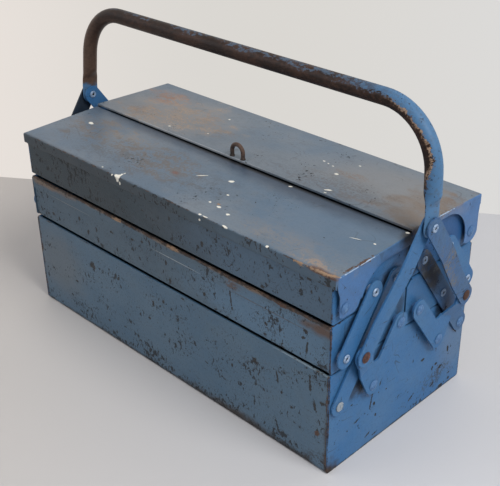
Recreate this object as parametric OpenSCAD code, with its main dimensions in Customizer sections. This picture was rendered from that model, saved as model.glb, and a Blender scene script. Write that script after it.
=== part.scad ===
// Cantilever toolbox of folded sheet steel: a deep base, two tiers of trays that swing out to the
// front and the rear on strip links, two hinged lids and a tube handle that lifts the trays shut.
// X runs along the box, the front is towards -Y, and the origin is the middle of the underside.

/* [Body] */
// Length over the end plates
body_len = 430; // [320:5:560]
// Width over the long walls
body_w = 203; // [190:1:240]
// Height of the base
base_h = 107; // [100:1:150]
// Height of a middle tray
mid_tray_h = 47.4; // [42:0.2:60]
// Height of a top tray under its lid
top_tray_h = 43.7; // [42:0.1:60]
// Gap between one tray and the next
tray_gap = 2.1; // [1.5:0.1:3]
// Slit along the middle between front and rear trays
middle_slit = 2.5; // [2:0.1:4]
// Thickness of the wrapped sheet
sheet_t = 1; // [0.8:0.1:1.4]
// Thickness of the end plates
end_t = 1.2; // [1:0.1:1.6]
// Outside radius of the folds along the bottom edges
fold_r = 2.5; // [2:0.1:4]
// Height of the folded hem along the top edges
hem_h = 14; // [6:0.5:16]
// Radius of the bead rolled along the top of an end plate
bead_r = 2; // [1.5:0.1:2.5]
// Corner cut off the inner top corner of a middle tray's end plates
corner_cut = 7; // [4:0.5:9]
// Depth of the tabs that fold in from an end plate
tab_depth = 9; // [6:0.5:14]

/* [Lids] */
// Height of a lid's outer skirt
skirt_h = 10.5; // [8:0.5:14]
// Space between a skirt's inner face and the tray wall
skirt_gap = 0.6; // [0.5:0.1:1]
// How far a skirt stands out past the lower trays
skirt_proud = 0.7; // [0.5:0.1:1.5]
// Air between the top tray's rim and the front lid
front_headroom = 2.2; // [2:0.1:4]
// Air between the top tray's rim and the rear lid
rear_headroom = 4; // [2.4:0.1:5]
// Rise of the front lid from its skirt to the middle
front_rise = 2.5; // [0.5:0.1:3]
// Rise of the rear lid from its skirt to the middle
rear_rise = 3.5; // [3:0.1:7]
// Distance of the seam between the lids from the middle, towards the front
seam_off = 3.4; // [3:0.1:6]
// Width of the seam between the lids
seam_gap = 1.6; // [0.4:0.1:2.5]
// Width of the hem folded under a lid's inner edge
lid_hem = 10; // [6:0.5:16]
// Space between a lid's end flange and the end plate
flange_gap = 3.2; // [3:0.1:5]
// Depth of the front lid's end flange over the scoop
front_flange_h = 11; // [9:0.5:14]
// Depth of the rear lid's end flange over the scoop
rear_flange_h = 5.5; // [4:0.5:14]
// Radius of the scoop in the front lid's end flange
front_scoop_r = 33; // [28:0.5:36]
// Radius of the scoop in the rear lid's end flange
rear_scoop_r = 31; // [28:0.5:36]
// Distance of the front scoop's centre from the hinge rivet
front_scoop_in = 54; // [50:0.5:60]
// Distance of the rear scoop's centre from the hinge rivet
rear_scoop_in = 40; // [38:0.5:50]
// Radius of the front lid's ear round its hinge rivet
front_ear_r = 9; // [8:0.5:11]
// Radius of the rear lid's ear round its hinge rivet
rear_ear_r = 11; // [8:0.5:12]
// Length of the straight under the front lid's ear
front_ear_len = 10; // [2:0.5:14]
// Length of the straight under the rear lid's ear
rear_ear_len = 3; // [2:0.5:14]
// Distance of the front flange's outer edge from the hinge rivet
front_ear_out = 6.5; // [6:0.5:11]
// Distance of the rear flange's outer edge from the hinge rivet
rear_ear_out = 10.5; // [6:0.5:11]
// Depth below a lid's edge at which the flange's outer edge turns straight down
shoulder_h = 20; // [14:0.5:24]

/* [Links] */
// Width of the long links, the cranks and the handle links
link_w = 19; // [16:0.5:22]
// Width of the short links
short_w = 20; // [16:0.5:22]
// Thickness of every link
link_t = 2; // [1.6:0.1:2.2]
// How far a link leans inwards from one tray to the next
pitch_in = 35; // [28:0.5:40]
// Distance of the long link's lowest rivet from the long wall
long_inset = 11; // [11:0.5:16]
// Height of the long link's rivet above a tray's bottom
long_rise = 12.2; // [11:0.1:16]
// Height of the other rivets above a tray's bottom
rivet_rise = 14.4; // [12:0.1:18]
// Distance of the crank's tray rivet from the middle
crank_inset = 14; // [13:0.5:18]
// Distance of the short link's lower rivet from the long wall
short_inset = 12.5; // [12:0.5:16]
// Distance of the lid's hinge rivet from the long wall
lid_inset = 11.5; // [11:0.5:14]
// Reach of the crank's outer arm, measured outwards
arm_out = 21.5; // [18:0.5:26]
// Reach of the crank's outer arm, measured upwards
arm_up = 44.3; // [40:0.1:50]
// Radius of the hollow between the crank's two arms
crotch_r = 6.5; // [4:0.5:8]
// Stand-off of the long links from the end plate
long_off = 0.7; // [0.5:0.1:0.9]
// Stand-off of the cranks and the short links from the end plate
crank_off = 4.6; // [4.6:0.1:5]
// Stand-off of the inner handle links at their lower ends
inner_low_off = 11.2; // [11:0.1:11.4]
// Stand-off of the outer handle links at their lower ends
outer_low_off = 16.4; // [16:0.1:17]

/* [Rivets] */
// Diameter of the rivet shanks
shank_d = 6; // [5:0.1:7]
// Diameter of the flat eyelet heads
head_d = 9; // [8:0.1:9.6]
// Height of the flat eyelet heads
head_h = 1.2; // [1:0.1:1.3]
// Diameter of the domed heads
dome_d = 10.6; // [9.5:0.1:12]
// Height of the domed heads
dome_h = 1.7; // [1.4:0.1:2]
// Diameter of the hollow in an eyelet head
eyelet_d = 3.6; // [2.5:0.1:4]
// Diameter of the spacing collars
collar_d = 10; // [8.5:0.1:11]
// Radial clearance of a rivet in a link that turns on it
turn_fit = 0.05; // [0.02:0.01:0.1]
// Air between faces that slide past each other
slide_air = 0.25; // [0.2:0.05:0.3]

/* [Handle] */
// Diameter of the handle tube
tube_d = 15.5; // [14:0.5:19]
// Wall of the handle tube
tube_wall = 1.5; // [1.2:0.1:2]
// Height of the handle's pivots above the crest of the rear lid
pivot_above = 7.5; // [3:0.5:10]
// Height of the grip's axis above the pivots
grip_rise = 98.5; // [95:0.5:130]
// Bend radius of the tube's axis
bend_r = 55.5; // [35:0.5:65]
// Lean of the handle's legs towards the middle, in degrees
leg_lean = 5; // [0:0.5:6]
// Lean of the whole handle towards the rear, in degrees
handle_lean = 3.3; // [0:0.1:5]
// Stand-off of the handle's flattened ends from the end plate
flat_off = 17.2; // [16:0.1:18.5]
// Thickness of the flattened ends
flat_t = 4.4; // [4:0.1:5.2]
// Width of the flattened ends
flat_w = 20; // [19:0.5:28]
// Length of the flattened part above the pivot
flat_rise = 18; // [16:0.5:30]
// Length over which the tube goes flat
crimp_len = 12; // [10:0.5:18]
// Diameter of the handle's pivot pins
pin_d = 8; // [6:0.1:9]

/* [Staple] */
// Diameter of the padlock staple's wire
wire_d = 4.2; // [2.6:0.1:5]
// Distance between the staple's legs
staple_w = 15; // [10:0.5:18]
// Height of the staple above the lid
staple_h = 16; // [14:0.5:24]
// Place of the staple along the box
staple_x = 4; // [-40:1:40]
// Distance of the staple's wire behind the lid's edge
staple_back = 1.3; // [1:0.1:4]
// Diameter of the staple's spread feet
foot_d = 6.4; // [5.4:0.1:7]
// Thickness of the staple's spread feet
foot_t = 1.4; // [1:0.1:1.6]

/* [Hidden] */
$fn = 64;
TINY = 0.01;

FRONT = -1;
REAR = 1;
LEFT = -1;
RIGHT = 1;

half_len = body_len / 2;
half_w = body_w / 2;
half_slit = middle_slit / 2;
mid_z0 = base_h + tray_gap;
mid_z1 = mid_z0 + mid_tray_h;
top_z0 = mid_z1 + tray_gap;
top_z1 = top_z0 + top_tray_h;
wrap_len = body_len - 2 * end_t;
skirt_y = half_w + skirt_proud;
top_wall_y = skirt_y - sheet_t - skirt_gap;
lid_half_len = half_len + flange_gap + sheet_t;
front_edge_z = top_z1 + front_headroom + sheet_t;
rear_edge_z = top_z1 + rear_headroom + sheet_t;
front_seam_y = seam_off + seam_gap / 2;
rear_seam_y = seam_gap / 2 - seam_off;

// Rivet centres as [distance from the middle, height], the same on the front and the rear
step = [-pitch_in, mid_tray_h + tray_gap];
long_mid = [half_w - long_inset - pitch_in, mid_z0 + long_rise];
long_base = long_mid - step;
long_top = long_mid + step;
crank_mid = [crank_inset, mid_z0 + rivet_rise];
crank_base = crank_mid - step;
crank_tip = crank_base + [arm_out, arm_up];
short_mid = [half_w - short_inset, mid_z0 + rivet_rise];
short_top = short_mid + step;
lid_pin = [half_w - lid_inset, top_z0 + rivet_rise];
handle_pin = [0, rear_edge_z + rear_rise + pivot_above];

// Stand-offs from the end plate's face
pin_lap = 0.15;
inner_lobe_off = inner_low_off - slide_air - link_t;
outer_lobe_off = outer_low_off - slide_air - link_t;
inner_high_off = flat_off - slide_air - pin_lap - link_t;
outer_high_off = flat_off + flat_t + slide_air + pin_lap;
leg_x = half_len + flat_off + flat_t / 2;

// The handle's leg leans from just above the links' round ends. Along it, the flattened part ends,
// the tube is round again, and the bend begins.
lean_z = handle_pin.y + link_w / 2 + 1.5;
flat_end_at = flat_rise - (lean_z - handle_pin.y);
round_at = flat_end_at + crimp_len;
crimp_lap = 1;
bend_thin = 0.15;
bend_lap = 0.8;
grip_z = handle_pin.y + grip_rise;
bend_at = (grip_z - lean_z - bend_r * (1 - sin(leg_lean))) / cos(leg_lean);

// Colours of the worn paint, the bare rivets, the rust and the handle
BASE_BLUE = [0.27, 0.36, 0.46];
END_BLUE = [0.29, 0.45, 0.62];
LID_BLUE = [0.44, 0.49, 0.54];
LINK_BLUE = [0.30, 0.46, 0.64];
ZINC = [0.72, 0.75, 0.80];
RUST = [0.42, 0.27, 0.20];
TUBE_BROWN = [0.30, 0.25, 0.23];

// Mirrors a piece that is drawn for the rear of the right-hand end
module place(end, side) {
    mirror([end < 0 ? 1 : 0, 0, 0])
        mirror([0, side < 0 ? 1 : 0, 0])
            children();
}

// Stands an outline, drawn as [y, z], up as a plate at a stand-off from the right-hand end plate's face
module plate(off, thick) {
    translate([half_len + off, 0, 0])
        rotate([90, 0, 90])
            linear_extrude(thick)
                children();
}

// Runs an outline, drawn as [y, z], along the middle of the box
module along_box(len) {
    translate([-len / 2, 0, 0])
        rotate([90, 0, 90])
            linear_extrude(len)
                children();
}

// Part of a square corner that lies outside a quarter circle
module corner_bit(r) {
    difference() {
        translate([-1, -1])
            square(r + 1);
        translate([r, r])
            circle(r);
    }
}

// Upright rectangle from p to q with its two lower corners rounded
module round_bottom(p, q, r) {
    difference() {
        translate(p)
            square(q - p);
        translate(p)
            corner_bit(r);
        translate([q.x, p.y])
            rotate(90)
                corner_bit(r);
    }
}

// Strip with round ends from centre a to centre b; its sides stand a hair inside the ends' width
module strip(a, b, w) {
    run = b - a;
    translate(a)
        rotate(atan2(run.y, run.x))
            translate([0, TINY - w / 2])
                square([norm(run), w - 2 * TINY]);
    translate(a)
        circle(d = w);
    translate(b)
        circle(d = w);
}

// Cylinder along X at a rivet centre, between two stand-offs
module rod(at, off0, off1, d) {
    translate([half_len + off0, at.x, at.y])
        rotate([0, 90, 0])
            cylinder(d = d, h = off1 - off0);
}

// Flat round head with a small hollow, standing outwards from a stand-off
module eyelet_head(at, off) {
    rim = (head_d - eyelet_d) / 4;
    translate([half_len + off, at.x, at.y])
        rotate([0, 90, 0])
            rotate_extrude()
                difference() {
                    union() {
                        square([head_d / 2 - rim, head_h]);
                        intersection() {
                            translate([head_d / 2 - rim, 0])
                                scale(rim)
                                    circle(1);
                            translate([head_d / 2 - rim, 0])
                                square([rim, min(rim, head_h)]);
                        }
                    }
                    translate([0, head_h / 3])
                        square([eyelet_d / 2, head_h]);
                }
}

// Low domed head, standing outwards from a stand-off
module dome_head(at, off) {
    dome_r = (pow(dome_d / 2, 2) + pow(dome_h, 2)) / (2 * dome_h);
    translate([half_len + off, at.x, at.y])
        rotate([0, 90, 0])
            rotate_extrude()
                intersection() {
                    translate([0, dome_h - dome_r])
                        circle(dome_r, $fn = 200);
                    square([dome_d / 2, dome_h]);
                }
}

// Rivet fixed in an end plate that carries a link of one thickness at a stand-off
module pivot_rivet(at, off, thick, domed) {
    out = off + thick + slide_air;
    rod(at, -end_t - head_h, -end_t, head_d);
    rod(at, -end_t - head_h / 2, out + head_h / 6, shank_d);
    rod(at, 0, off - slide_air, collar_d);
    if (domed)
        dome_head(at, out);
    else
        eyelet_head(at, out);
}

// Section of a folded trough: outer wall at y1, inner wall at y0
module trough(y0, y1, z0, z1) {
    difference() {
        round_bottom([y0, z0], [y1, z1], fold_r);
        round_bottom([y0 + sheet_t, z0 + sheet_t], [y1 - sheet_t, z1 + 1], fold_r - sheet_t);
    }
}

// Section of the hem folded against a wall whose outer face is at y, inwards or outwards
module hem_in(y, z1) {
    translate([y - 2 * sheet_t, z1 - hem_h])
        square([1.5 * sheet_t, hem_h]);
}

module hem_out(y, z1) {
    translate([y - sheet_t / 2, z1 - hem_h])
        square([1.5 * sheet_t, hem_h]);
}

// Pan-shaped end plate from y0 to y1 with folded tabs, a rolled top bead and rivet holes.
// The outer wall's inner face is at wall_y, and the bead ends at hem_y.
module end_plate(y0, y1, wall_y, hem_y, z0, z1, cut, holes) {
    tab_z0 = z0 + 4 * fold_r;
    tab_z1 = z1 - hem_h - 1;
    bead_y0 = y0 + max(cut, sheet_t);
    difference() {
        union() {
            plate(-end_t, end_t)
                difference() {
                    round_bottom([y0, z0], [y1, z1 - bead_r], fold_r);
                    if (cut > 0)
                        translate([y0, z1])
                            rotate(45)
                                square(cut * sqrt(2), center = true);
                }
            translate([half_len - bead_r, bead_y0, z1 - bead_r])
                rotate([-90, 0, 0])
                    cylinder(r = bead_r, h = hem_y - bead_y0);
            for (y = [y0 + sheet_t, wall_y - sheet_t])
                translate([half_len - end_t - tab_depth, y, tab_z0])
                    cube([tab_depth + TINY, sheet_t, tab_z1 - tab_z0]);
            translate([half_len - end_t - tab_depth, y0 + 3 * fold_r, z0 + sheet_t])
                cube([tab_depth + TINY, y1 - y0 - 6 * fold_r, sheet_t]);
        }
        for (at = holes)
            rod(at, -end_t - 1, 1, shank_d);
    }
}

// Base: one wrapped sheet with hems turned in at the top of both long walls
module base_wrap() {
    color(BASE_BLUE)
        along_box(wrap_len) {
            trough(-half_w, half_w, 0, base_h);
            hem_in(half_w, base_h);
            mirror([1, 0])
                hem_in(half_w, base_h);
        }
}

// Base end plates carry the long links and the cranks of both sides
module base_end(end) {
    wall_y = half_w - sheet_t;
    hem_y = wall_y - sheet_t;
    tab_z0 = 4 * fold_r;
    color(END_BLUE)
        place(end, REAR)
            difference() {
                union() {
                    plate(-end_t, end_t)
                        round_bottom([-half_w, 0], [half_w, base_h - bead_r], fold_r);
                    translate([half_len - bead_r, -hem_y, base_h - bead_r])
                        rotate([-90, 0, 0])
                            cylinder(r = bead_r, h = 2 * hem_y);
                    for (y = [-wall_y, wall_y - sheet_t])
                        translate([half_len - end_t - tab_depth, y, tab_z0])
                            cube([tab_depth + TINY, sheet_t, base_h - hem_h - 1 - tab_z0]);
                    translate([half_len - end_t - tab_depth, 3 * fold_r - half_w, sheet_t])
                        cube([tab_depth + TINY, body_w - 6 * fold_r, sheet_t]);
                }
                for (side = [FRONT, REAR], at = [long_base, crank_base])
                    rod([side * at.x, at.y], -end_t - 1, 1, shank_d);
            }
}

module base_rivets() {
    for (end = [LEFT, RIGHT], side = [FRONT, REAR])
        place(end, side) {
            color(ZINC)
                pivot_rivet(long_base, long_off, link_t, false);
            color(LINK_BLUE)
                pivot_rivet(crank_base, crank_off, link_t, true);
        }
}

// Middle tray: its outer wall has a hem turned out, which stands level with the base's wall
module mid_tray_wrap(side) {
    color(BASE_BLUE)
        place(RIGHT, side)
            along_box(wrap_len) {
                trough(half_slit, half_w - sheet_t, mid_z0, mid_z1);
                hem_out(half_w - sheet_t, mid_z1);
            }
}

module mid_tray_end(end, side) {
    color(END_BLUE)
        place(end, side)
            end_plate(half_slit, half_w, half_w - 2 * sheet_t, half_w - 2 * sheet_t, mid_z0, mid_z1,
                corner_cut, [long_mid, crank_mid, short_mid]);
}

module mid_tray_rivets(side) {
    for (end = [LEFT, RIGHT])
        place(end, side) {
            color(ZINC) {
                pivot_rivet(long_mid, long_off, link_t, false);
                pivot_rivet(short_mid, crank_off, link_t, false);
            }
            color(LINK_BLUE)
                pivot_rivet(crank_mid, crank_off, link_t, true);
        }
}

// Top tray: its outer wall stands back so that the lid's skirt passes it
module top_tray_wrap(side) {
    color(BASE_BLUE)
        place(RIGHT, side)
            along_box(wrap_len) {
                trough(half_slit, top_wall_y, top_z0, top_z1);
                hem_in(top_wall_y, top_z1);
            }
}

module top_tray_end(end, side) {
    color(END_BLUE)
        place(end, side)
            end_plate(half_slit, top_wall_y, top_wall_y - sheet_t, top_wall_y - 2 * sheet_t, top_z0, top_z1,
                0, [long_top, short_top, lid_pin]);
}

module top_tray_rivets(side) {
    for (end = [LEFT, RIGHT])
        place(end, side) {
            color(ZINC) {
                pivot_rivet(long_top, long_off, link_t, false);
                pivot_rivet(short_top, crank_off, link_t, false);
            }
            color(LINK_BLUE)
                pivot_rivet(lid_pin, flange_gap, sheet_t, true);
        }
}

// Folded section of a lid: skirt, sloping top and the hem under its inner edge
module lid_section(edge_z, rise, seam_y) {
    slope = rise / (skirt_y - seam_y);
    polygon([
        [skirt_y, edge_z - skirt_h],
        [skirt_y, edge_z],
        [seam_y, edge_z + rise],
        [seam_y, edge_z + rise - 2 * sheet_t],
        [seam_y + lid_hem, edge_z + rise - 2 * sheet_t - slope * lid_hem],
        [seam_y + lid_hem, edge_z + rise - sheet_t - slope * lid_hem],
        [skirt_y - sheet_t, edge_z - sheet_t],
        [skirt_y - sheet_t, edge_z - skirt_h],
    ]);
}

// Height of a lid's top at a distance from the middle
function lid_z(y, edge_z, rise, seam_y) = edge_z + rise * (skirt_y - y) / (skirt_y - seam_y);

// Outline of a lid's end flange: a strip along the lid's end and the ear that turns on the hinge
// rivet, with a scoop between them that clears the links
module flange_outline(edge_z, rise, seam_y, depth, scoop_in, scoop_r, ear_r, ear_len, ear_out) {
    scoop_y = lid_pin.x - scoop_in;
    scoop_top = lid_z(scoop_y, edge_z, rise, seam_y) - depth;
    outer_y = lid_pin.x + ear_out;
    difference() {
        intersection() {
            union() {
                polygon([
                    [skirt_y, edge_z],
                    [seam_y, edge_z + rise],
                    [seam_y, edge_z + rise - depth],
                    [scoop_y, scoop_top],
                    [scoop_y, lid_pin.y],
                    [skirt_y, lid_pin.y],
                ]);
                strip(lid_pin - [ear_len, 0], lid_pin, 2 * ear_r);
            }
            polygon([
                [seam_y, edge_z + rise],
                [skirt_y, edge_z],
                [skirt_y, edge_z - skirt_h / 4],
                [outer_y, edge_z - shoulder_h],
                [outer_y, lid_pin.y - 2 * ear_r],
                [seam_y, lid_pin.y - 2 * ear_r],
            ]);
        }
        translate([scoop_y, scoop_top - scoop_r + 0.3])
            circle(scoop_r);
    }
}

// Lid of one side with its two end flanges, the ears of which are holed for the hinge rivets
module lid(side, edge_z, rise, seam_y) {
    place(RIGHT, side) {
        along_box(2 * lid_half_len)
            lid_section(edge_z, rise, seam_y);
        for (end = [LEFT, RIGHT])
            place(end, REAR)
                difference() {
                    plate(flange_gap, sheet_t)
                        children();
                    rod(lid_pin, flange_gap - 1, flange_gap + sheet_t + 1, shank_d + 2 * turn_fit);
                }
    }
}

module front_lid() {
    color(LID_BLUE)
        lid(FRONT, front_edge_z, front_rise, front_seam_y)
            flange_outline(front_edge_z, front_rise, front_seam_y, front_flange_h,
                front_scoop_in, front_scoop_r, front_ear_r, front_ear_len, front_ear_out);
}

// Place of the staple's wire and the height of the rear lid there
staple_y = rear_seam_y + staple_back + wire_d / 2;
lid_top_z = lid_z(staple_y, rear_edge_z, rear_rise, rear_seam_y);
leg_low_z = lid_top_z - 2 * sheet_t;

module rear_lid() {
    color(LID_BLUE)
        difference() {
            lid(REAR, rear_edge_z, rear_rise, rear_seam_y)
                flange_outline(rear_edge_z, rear_rise, rear_seam_y, rear_flange_h,
                    rear_scoop_in, rear_scoop_r, rear_ear_r, rear_ear_len, rear_ear_out);
            for (end = [LEFT, RIGHT])
                translate([staple_x + end * staple_w / 2, staple_y, leg_low_z - 2])
                    cylinder(d = wire_d, h = 3 * sheet_t + 3);
        }
}

// Wire loop for a padlock, its feet spread under the lid
module padlock_staple() {
    arch_z = lid_top_z + staple_h - wire_d / 2 - staple_w / 2;
    color(RUST)
        translate([staple_x, staple_y, 0]) {
            translate([0, 0, arch_z])
                rotate([90, 0, 0])
                    rotate_extrude(angle = 180)
                        translate([staple_w / 2, 0])
                            circle(d = wire_d);
            for (end = [LEFT, RIGHT])
                translate([end * staple_w / 2, 0, 0]) {
                    translate([0, 0, leg_low_z - 0.1])
                        cylinder(d = wire_d, h = arch_z - leg_low_z + 0.1);
                    translate([0, 0, leg_low_z - 0.1 - foot_t])
                        cylinder(d = foot_d, h = foot_t);
                }
        }
}

// Long link: one strip from the base past the middle tray to the top tray
module long_link(end, side) {
    color(LINK_BLUE)
        place(end, side)
            difference() {
                plate(long_off, link_t)
                    strip(long_base, long_top, link_w);
                for (at = [long_base, long_mid, long_top])
                    rod(at, 0, long_off + link_t + 1, shank_d + 2 * turn_fit);
            }
}

// Short link: middle tray to top tray, near the long wall
module short_link(end, side) {
    color(LINK_BLUE)
        place(end, side)
            difference() {
                plate(crank_off, link_t)
                    strip(short_mid, short_top, short_w);
                for (at = [short_mid, short_top])
                    rod(at, 0, crank_off + link_t + 1, shank_d + 2 * turn_fit);
            }
}

// Side view of a strip that steps from one stand-off to another, run across its width.
// It starts at a distance before centre a, and steps between two distances from a.
module stepped_slab(a, b, off_a, off_b, from_a, to_b, start, wide) {
    run = b - a;
    over = norm(run) + wide;
    translate([half_len, a.x, a.y])
        rotate([atan2(run.y, run.x), 0, 0])
            translate([0, 0, -wide])
                linear_extrude(2 * wide)
                    polygon([
                        [off_a, start],
                        [off_a, from_a],
                        [off_b, to_b],
                        [off_b, over],
                        [off_b + link_t, over],
                        [off_b + link_t, to_b],
                        [off_a + link_t, from_a],
                        [off_a + link_t, start],
                    ]);
}

// V-shaped crank: one arm holds the middle tray, the other is bent out to the handle link
module crank_blank(lobe_off) {
    arm = crank_tip - crank_base;
    inner_arm = crank_mid - crank_base;
    arm_angle = atan2(arm.y, arm.x);
    inner_angle = atan2(inner_arm.y, inner_arm.x);
    half_angle = (inner_angle - arm_angle) / 2;
    crotch_at = (link_w / 2 + crotch_r) / sin(half_angle);
    tangent_at = (link_w / 2 + crotch_r) / tan(half_angle);
    flat_len = tangent_at - crotch_r / 2;
    bent_len = norm(arm) - link_w / 2 - 1;
    plate(crank_off, link_t) {
        strip(crank_base, crank_mid, link_w);
        translate(crank_base)
            rotate(arm_angle)
                translate([0, -link_w / 2])
                    square([flat_len, link_w]);
        difference() {
            translate(crank_base)
                polygon([
                    [0, 0],
                    flat_len * [cos(arm_angle), sin(arm_angle)],
                    crotch_at * [cos(arm_angle + half_angle), sin(arm_angle + half_angle)],
                    flat_len * [cos(inner_angle), sin(inner_angle)],
                ]);
            translate(crank_base + crotch_at * [cos(arm_angle + half_angle), sin(arm_angle + half_angle)])
                circle(crotch_r);
        }
    }
    intersection() {
        plate(crank_off, lobe_off + link_t - crank_off)
            strip(crank_base, crank_tip, link_w);
        stepped_slab(crank_base, crank_tip, crank_off, lobe_off, flat_len, bent_len, flat_len - 2, link_w);
    }
}

module crank(end, side, lobe_off) {
    color(LINK_BLUE)
        place(end, side)
            difference() {
                crank_blank(lobe_off);
                for (at = [crank_base, crank_mid])
                    rod(at, 0, crank_off + link_t + 1, shank_d + 2 * turn_fit);
                rod(crank_tip, lobe_off - 1, lobe_off + link_t + 1, shank_d);
            }
}

// Rivet fixed in a crank's bent arm that carries a handle link
module crank_rivet(lobe_off, link_off) {
    out = link_off + link_t + slide_air;
    rod(crank_tip, lobe_off - head_h, lobe_off, head_d);
    rod(crank_tip, lobe_off - head_h / 2, out + dome_h / 6, shank_d);
    dome_head(crank_tip, out);
}

// The box looks the same turned half round: the front's right-hand link and the rear's left-hand
// link run behind the handle's flat ends, and the other two run in front of them
function runs_inside(end, side) = end * side < 0;
function lobe_off_of(end, side) = runs_inside(end, side) ? inner_lobe_off : outer_lobe_off;
function low_off_of(end, side) = runs_inside(end, side) ? inner_low_off : outer_low_off;
function high_off_of(end, side) = runs_inside(end, side) ? inner_high_off : outer_high_off;

module crank_rivets(side) {
    color(RUST)
        for (end = [LEFT, RIGHT])
            place(end, side)
                crank_rivet(lobe_off_of(end, side), low_off_of(end, side));
}

// Handle link: from the crank's bent arm up to the handle's pivot, with a joggle on the way
module handle_link(end, side) {
    low = low_off_of(end, side);
    high = high_off_of(end, side);
    run = norm(crank_tip - handle_pin);
    color(LINK_BLUE)
        place(end, side)
            difference() {
                intersection() {
                    plate(low, high + link_t - low)
                        strip(handle_pin, crank_tip, link_w);
                    stepped_slab(handle_pin, crank_tip, high, low, 0.33 * run, 0.75 * run, -link_w, link_w);
                }
                rod(handle_pin, high - 1, high + link_t + 1, shank_d);
                rod(crank_tip, low - 1, low + link_t + 1, shank_d + 2 * turn_fit);
            }
}

// Eyelets at the upper ends of the handle links, with their heads away from the handle
module handle_link_eyelets(side) {
    color(ZINC)
        for (end = [LEFT, RIGHT])
            place(end, side) {
                high = high_off_of(end, side);
                if (runs_inside(end, side)) {
                    rod(handle_pin, high - head_h / 2, high + link_t, shank_d);
                    rod(handle_pin, high - head_h, high, head_d);
                } else {
                    rod(handle_pin, high, high + link_t + head_h / 6, shank_d);
                    eyelet_head(handle_pin, high + link_t);
                }
            }
}

// Pins on which the handle's flattened ends turn
module handle_pins() {
    color(ZINC)
        for (end = [LEFT, RIGHT])
            place(end, REAR)
                rod(handle_pin, flat_off - slide_air, flat_off + flat_t + slide_air, pin_d);
}

// Puts a piece that is drawn round the Z axis on the right-hand leg's leaning axis
module on_leg() {
    translate([leg_x, 0, lean_z])
        rotate([0, -leg_lean, 0])
            children();
}

// One side of the tube handle as a solid of the given diameter, from the bar's middle down the leg.
// The tube is drawn a little thinner round its bends, and the straight stretches lap over them.
module half_tube(d, low) {
    bend_x = leg_x - bend_at * sin(leg_lean) - bend_r * cos(leg_lean);
    translate([0, 0, grip_z])
        rotate([0, 90, 0])
            cylinder(d = d, h = bend_x + bend_lap);
    translate([bend_x, 0, grip_z - bend_r])
        rotate([90, 0, 0])
            rotate(leg_lean)
                rotate_extrude(angle = 90 - leg_lean)
                    translate([bend_r, 0])
                        circle(d = d - 2 * bend_thin);
    on_leg()
        translate([0, 0, low])
            cylinder(d = d, h = bend_at + bend_lap - low);
}

// Wedge that presses one cheek of the leg flat, from the flattened end up to the round tube
module crimp_wedge(cheek) {
    slope = (tube_d - flat_t) / 2 / crimp_len;
    out = tube_d / 2 + 1;
    low = 2 * crimp_lap;
    on_leg()
        translate([0, out, flat_end_at])
            rotate([90, 0, 0])
                linear_extrude(2 * out)
                    polygon([
                        [cheek * (flat_t / 2 - slope * low), -low],
                        [cheek * out, (out - flat_t / 2) / slope],
                        [cheek * out, -low],
                    ]);
}

// Side view of the flattened end: upright at the pivot, and leaning with the leg above it
module flat_profile() {
    high = round_at - crimp_lap;
    shift = flat_t / 2 * tan(leg_lean / 2);
    low_z = handle_pin.y - flat_w;
    top = [leg_x - high * sin(leg_lean), lean_z + high * cos(leg_lean)];
    across = flat_t / 2 * [cos(leg_lean), sin(leg_lean)];
    translate([0, flat_w, 0])
        rotate([90, 0, 0])
            linear_extrude(2 * flat_w)
                polygon([
                    [leg_x + flat_t / 2, low_z],
                    [leg_x + flat_t / 2, lean_z + shift],
                    top + across,
                    top - across,
                    [leg_x - flat_t / 2, lean_z - shift],
                    [leg_x - flat_t / 2, low_z],
                ]);
}

// Flattened end: round below the pivot, and drawn in towards the tube above
module flat_end() {
    neck_w = 0.85 * tube_d;
    shoulder_z = handle_pin.y + flat_rise;
    neck_z = shoulder_z + crimp_len - crimp_lap;
    off = flat_off - crimp_len;
    intersection() {
        flat_profile();
        union() {
            rod(handle_pin, off, flat_off + flat_t + 1, flat_w);
            plate(off, flat_off + flat_t + 1 - off)
                polygon([
                    [-flat_w / 2, handle_pin.y],
                    [flat_w / 2, handle_pin.y],
                    [flat_w / 2, shoulder_z],
                    [neck_w / 2, neck_z],
                    [-neck_w / 2, neck_z],
                    [-flat_w / 2, shoulder_z],
                ]);
        }
    }
}

module handle() {
    color(TUBE_BROWN)
        translate([0, 0, handle_pin.y])
            rotate([-handle_lean, 0, 0])
                translate([0, 0, -handle_pin.y])
                    difference() {
                        for (end = [LEFT, RIGHT])
                            place(end, REAR) {
                                difference() {
                                    half_tube(tube_d, flat_end_at - crimp_lap);
                                    crimp_wedge(-1);
                                    crimp_wedge(1);
                                }
                                flat_end();
                            }
                        for (end = [LEFT, RIGHT])
                            place(end, REAR) {
                                half_tube(tube_d - 2 * tube_wall, round_at);
                                rod(handle_pin, flat_off - 1, flat_off + flat_t + 1, pin_d + 2 * turn_fit);
                            }
                    }
}

base_wrap();
base_end(LEFT);  // base_end_left
base_end(RIGHT);  // base_end_right
base_rivets();
mid_tray_wrap(FRONT);  // front_mid_tray_wrap
mid_tray_end(LEFT, FRONT);  // front_mid_tray_end_left
mid_tray_end(RIGHT, FRONT);  // front_mid_tray_end_right
mid_tray_rivets(FRONT);  // front_mid_tray_rivets
mid_tray_wrap(REAR);  // rear_mid_tray_wrap
mid_tray_end(LEFT, REAR);  // rear_mid_tray_end_left
mid_tray_end(RIGHT, REAR);  // rear_mid_tray_end_right
mid_tray_rivets(REAR);  // rear_mid_tray_rivets
top_tray_wrap(FRONT);  // front_top_tray_wrap
top_tray_end(LEFT, FRONT);  // front_top_tray_end_left
top_tray_end(RIGHT, FRONT);  // front_top_tray_end_right
top_tray_rivets(FRONT);  // front_top_tray_rivets
top_tray_wrap(REAR);  // rear_top_tray_wrap
top_tray_end(LEFT, REAR);  // rear_top_tray_end_left
top_tray_end(RIGHT, REAR);  // rear_top_tray_end_right
top_tray_rivets(REAR);  // rear_top_tray_rivets
front_lid();
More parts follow.
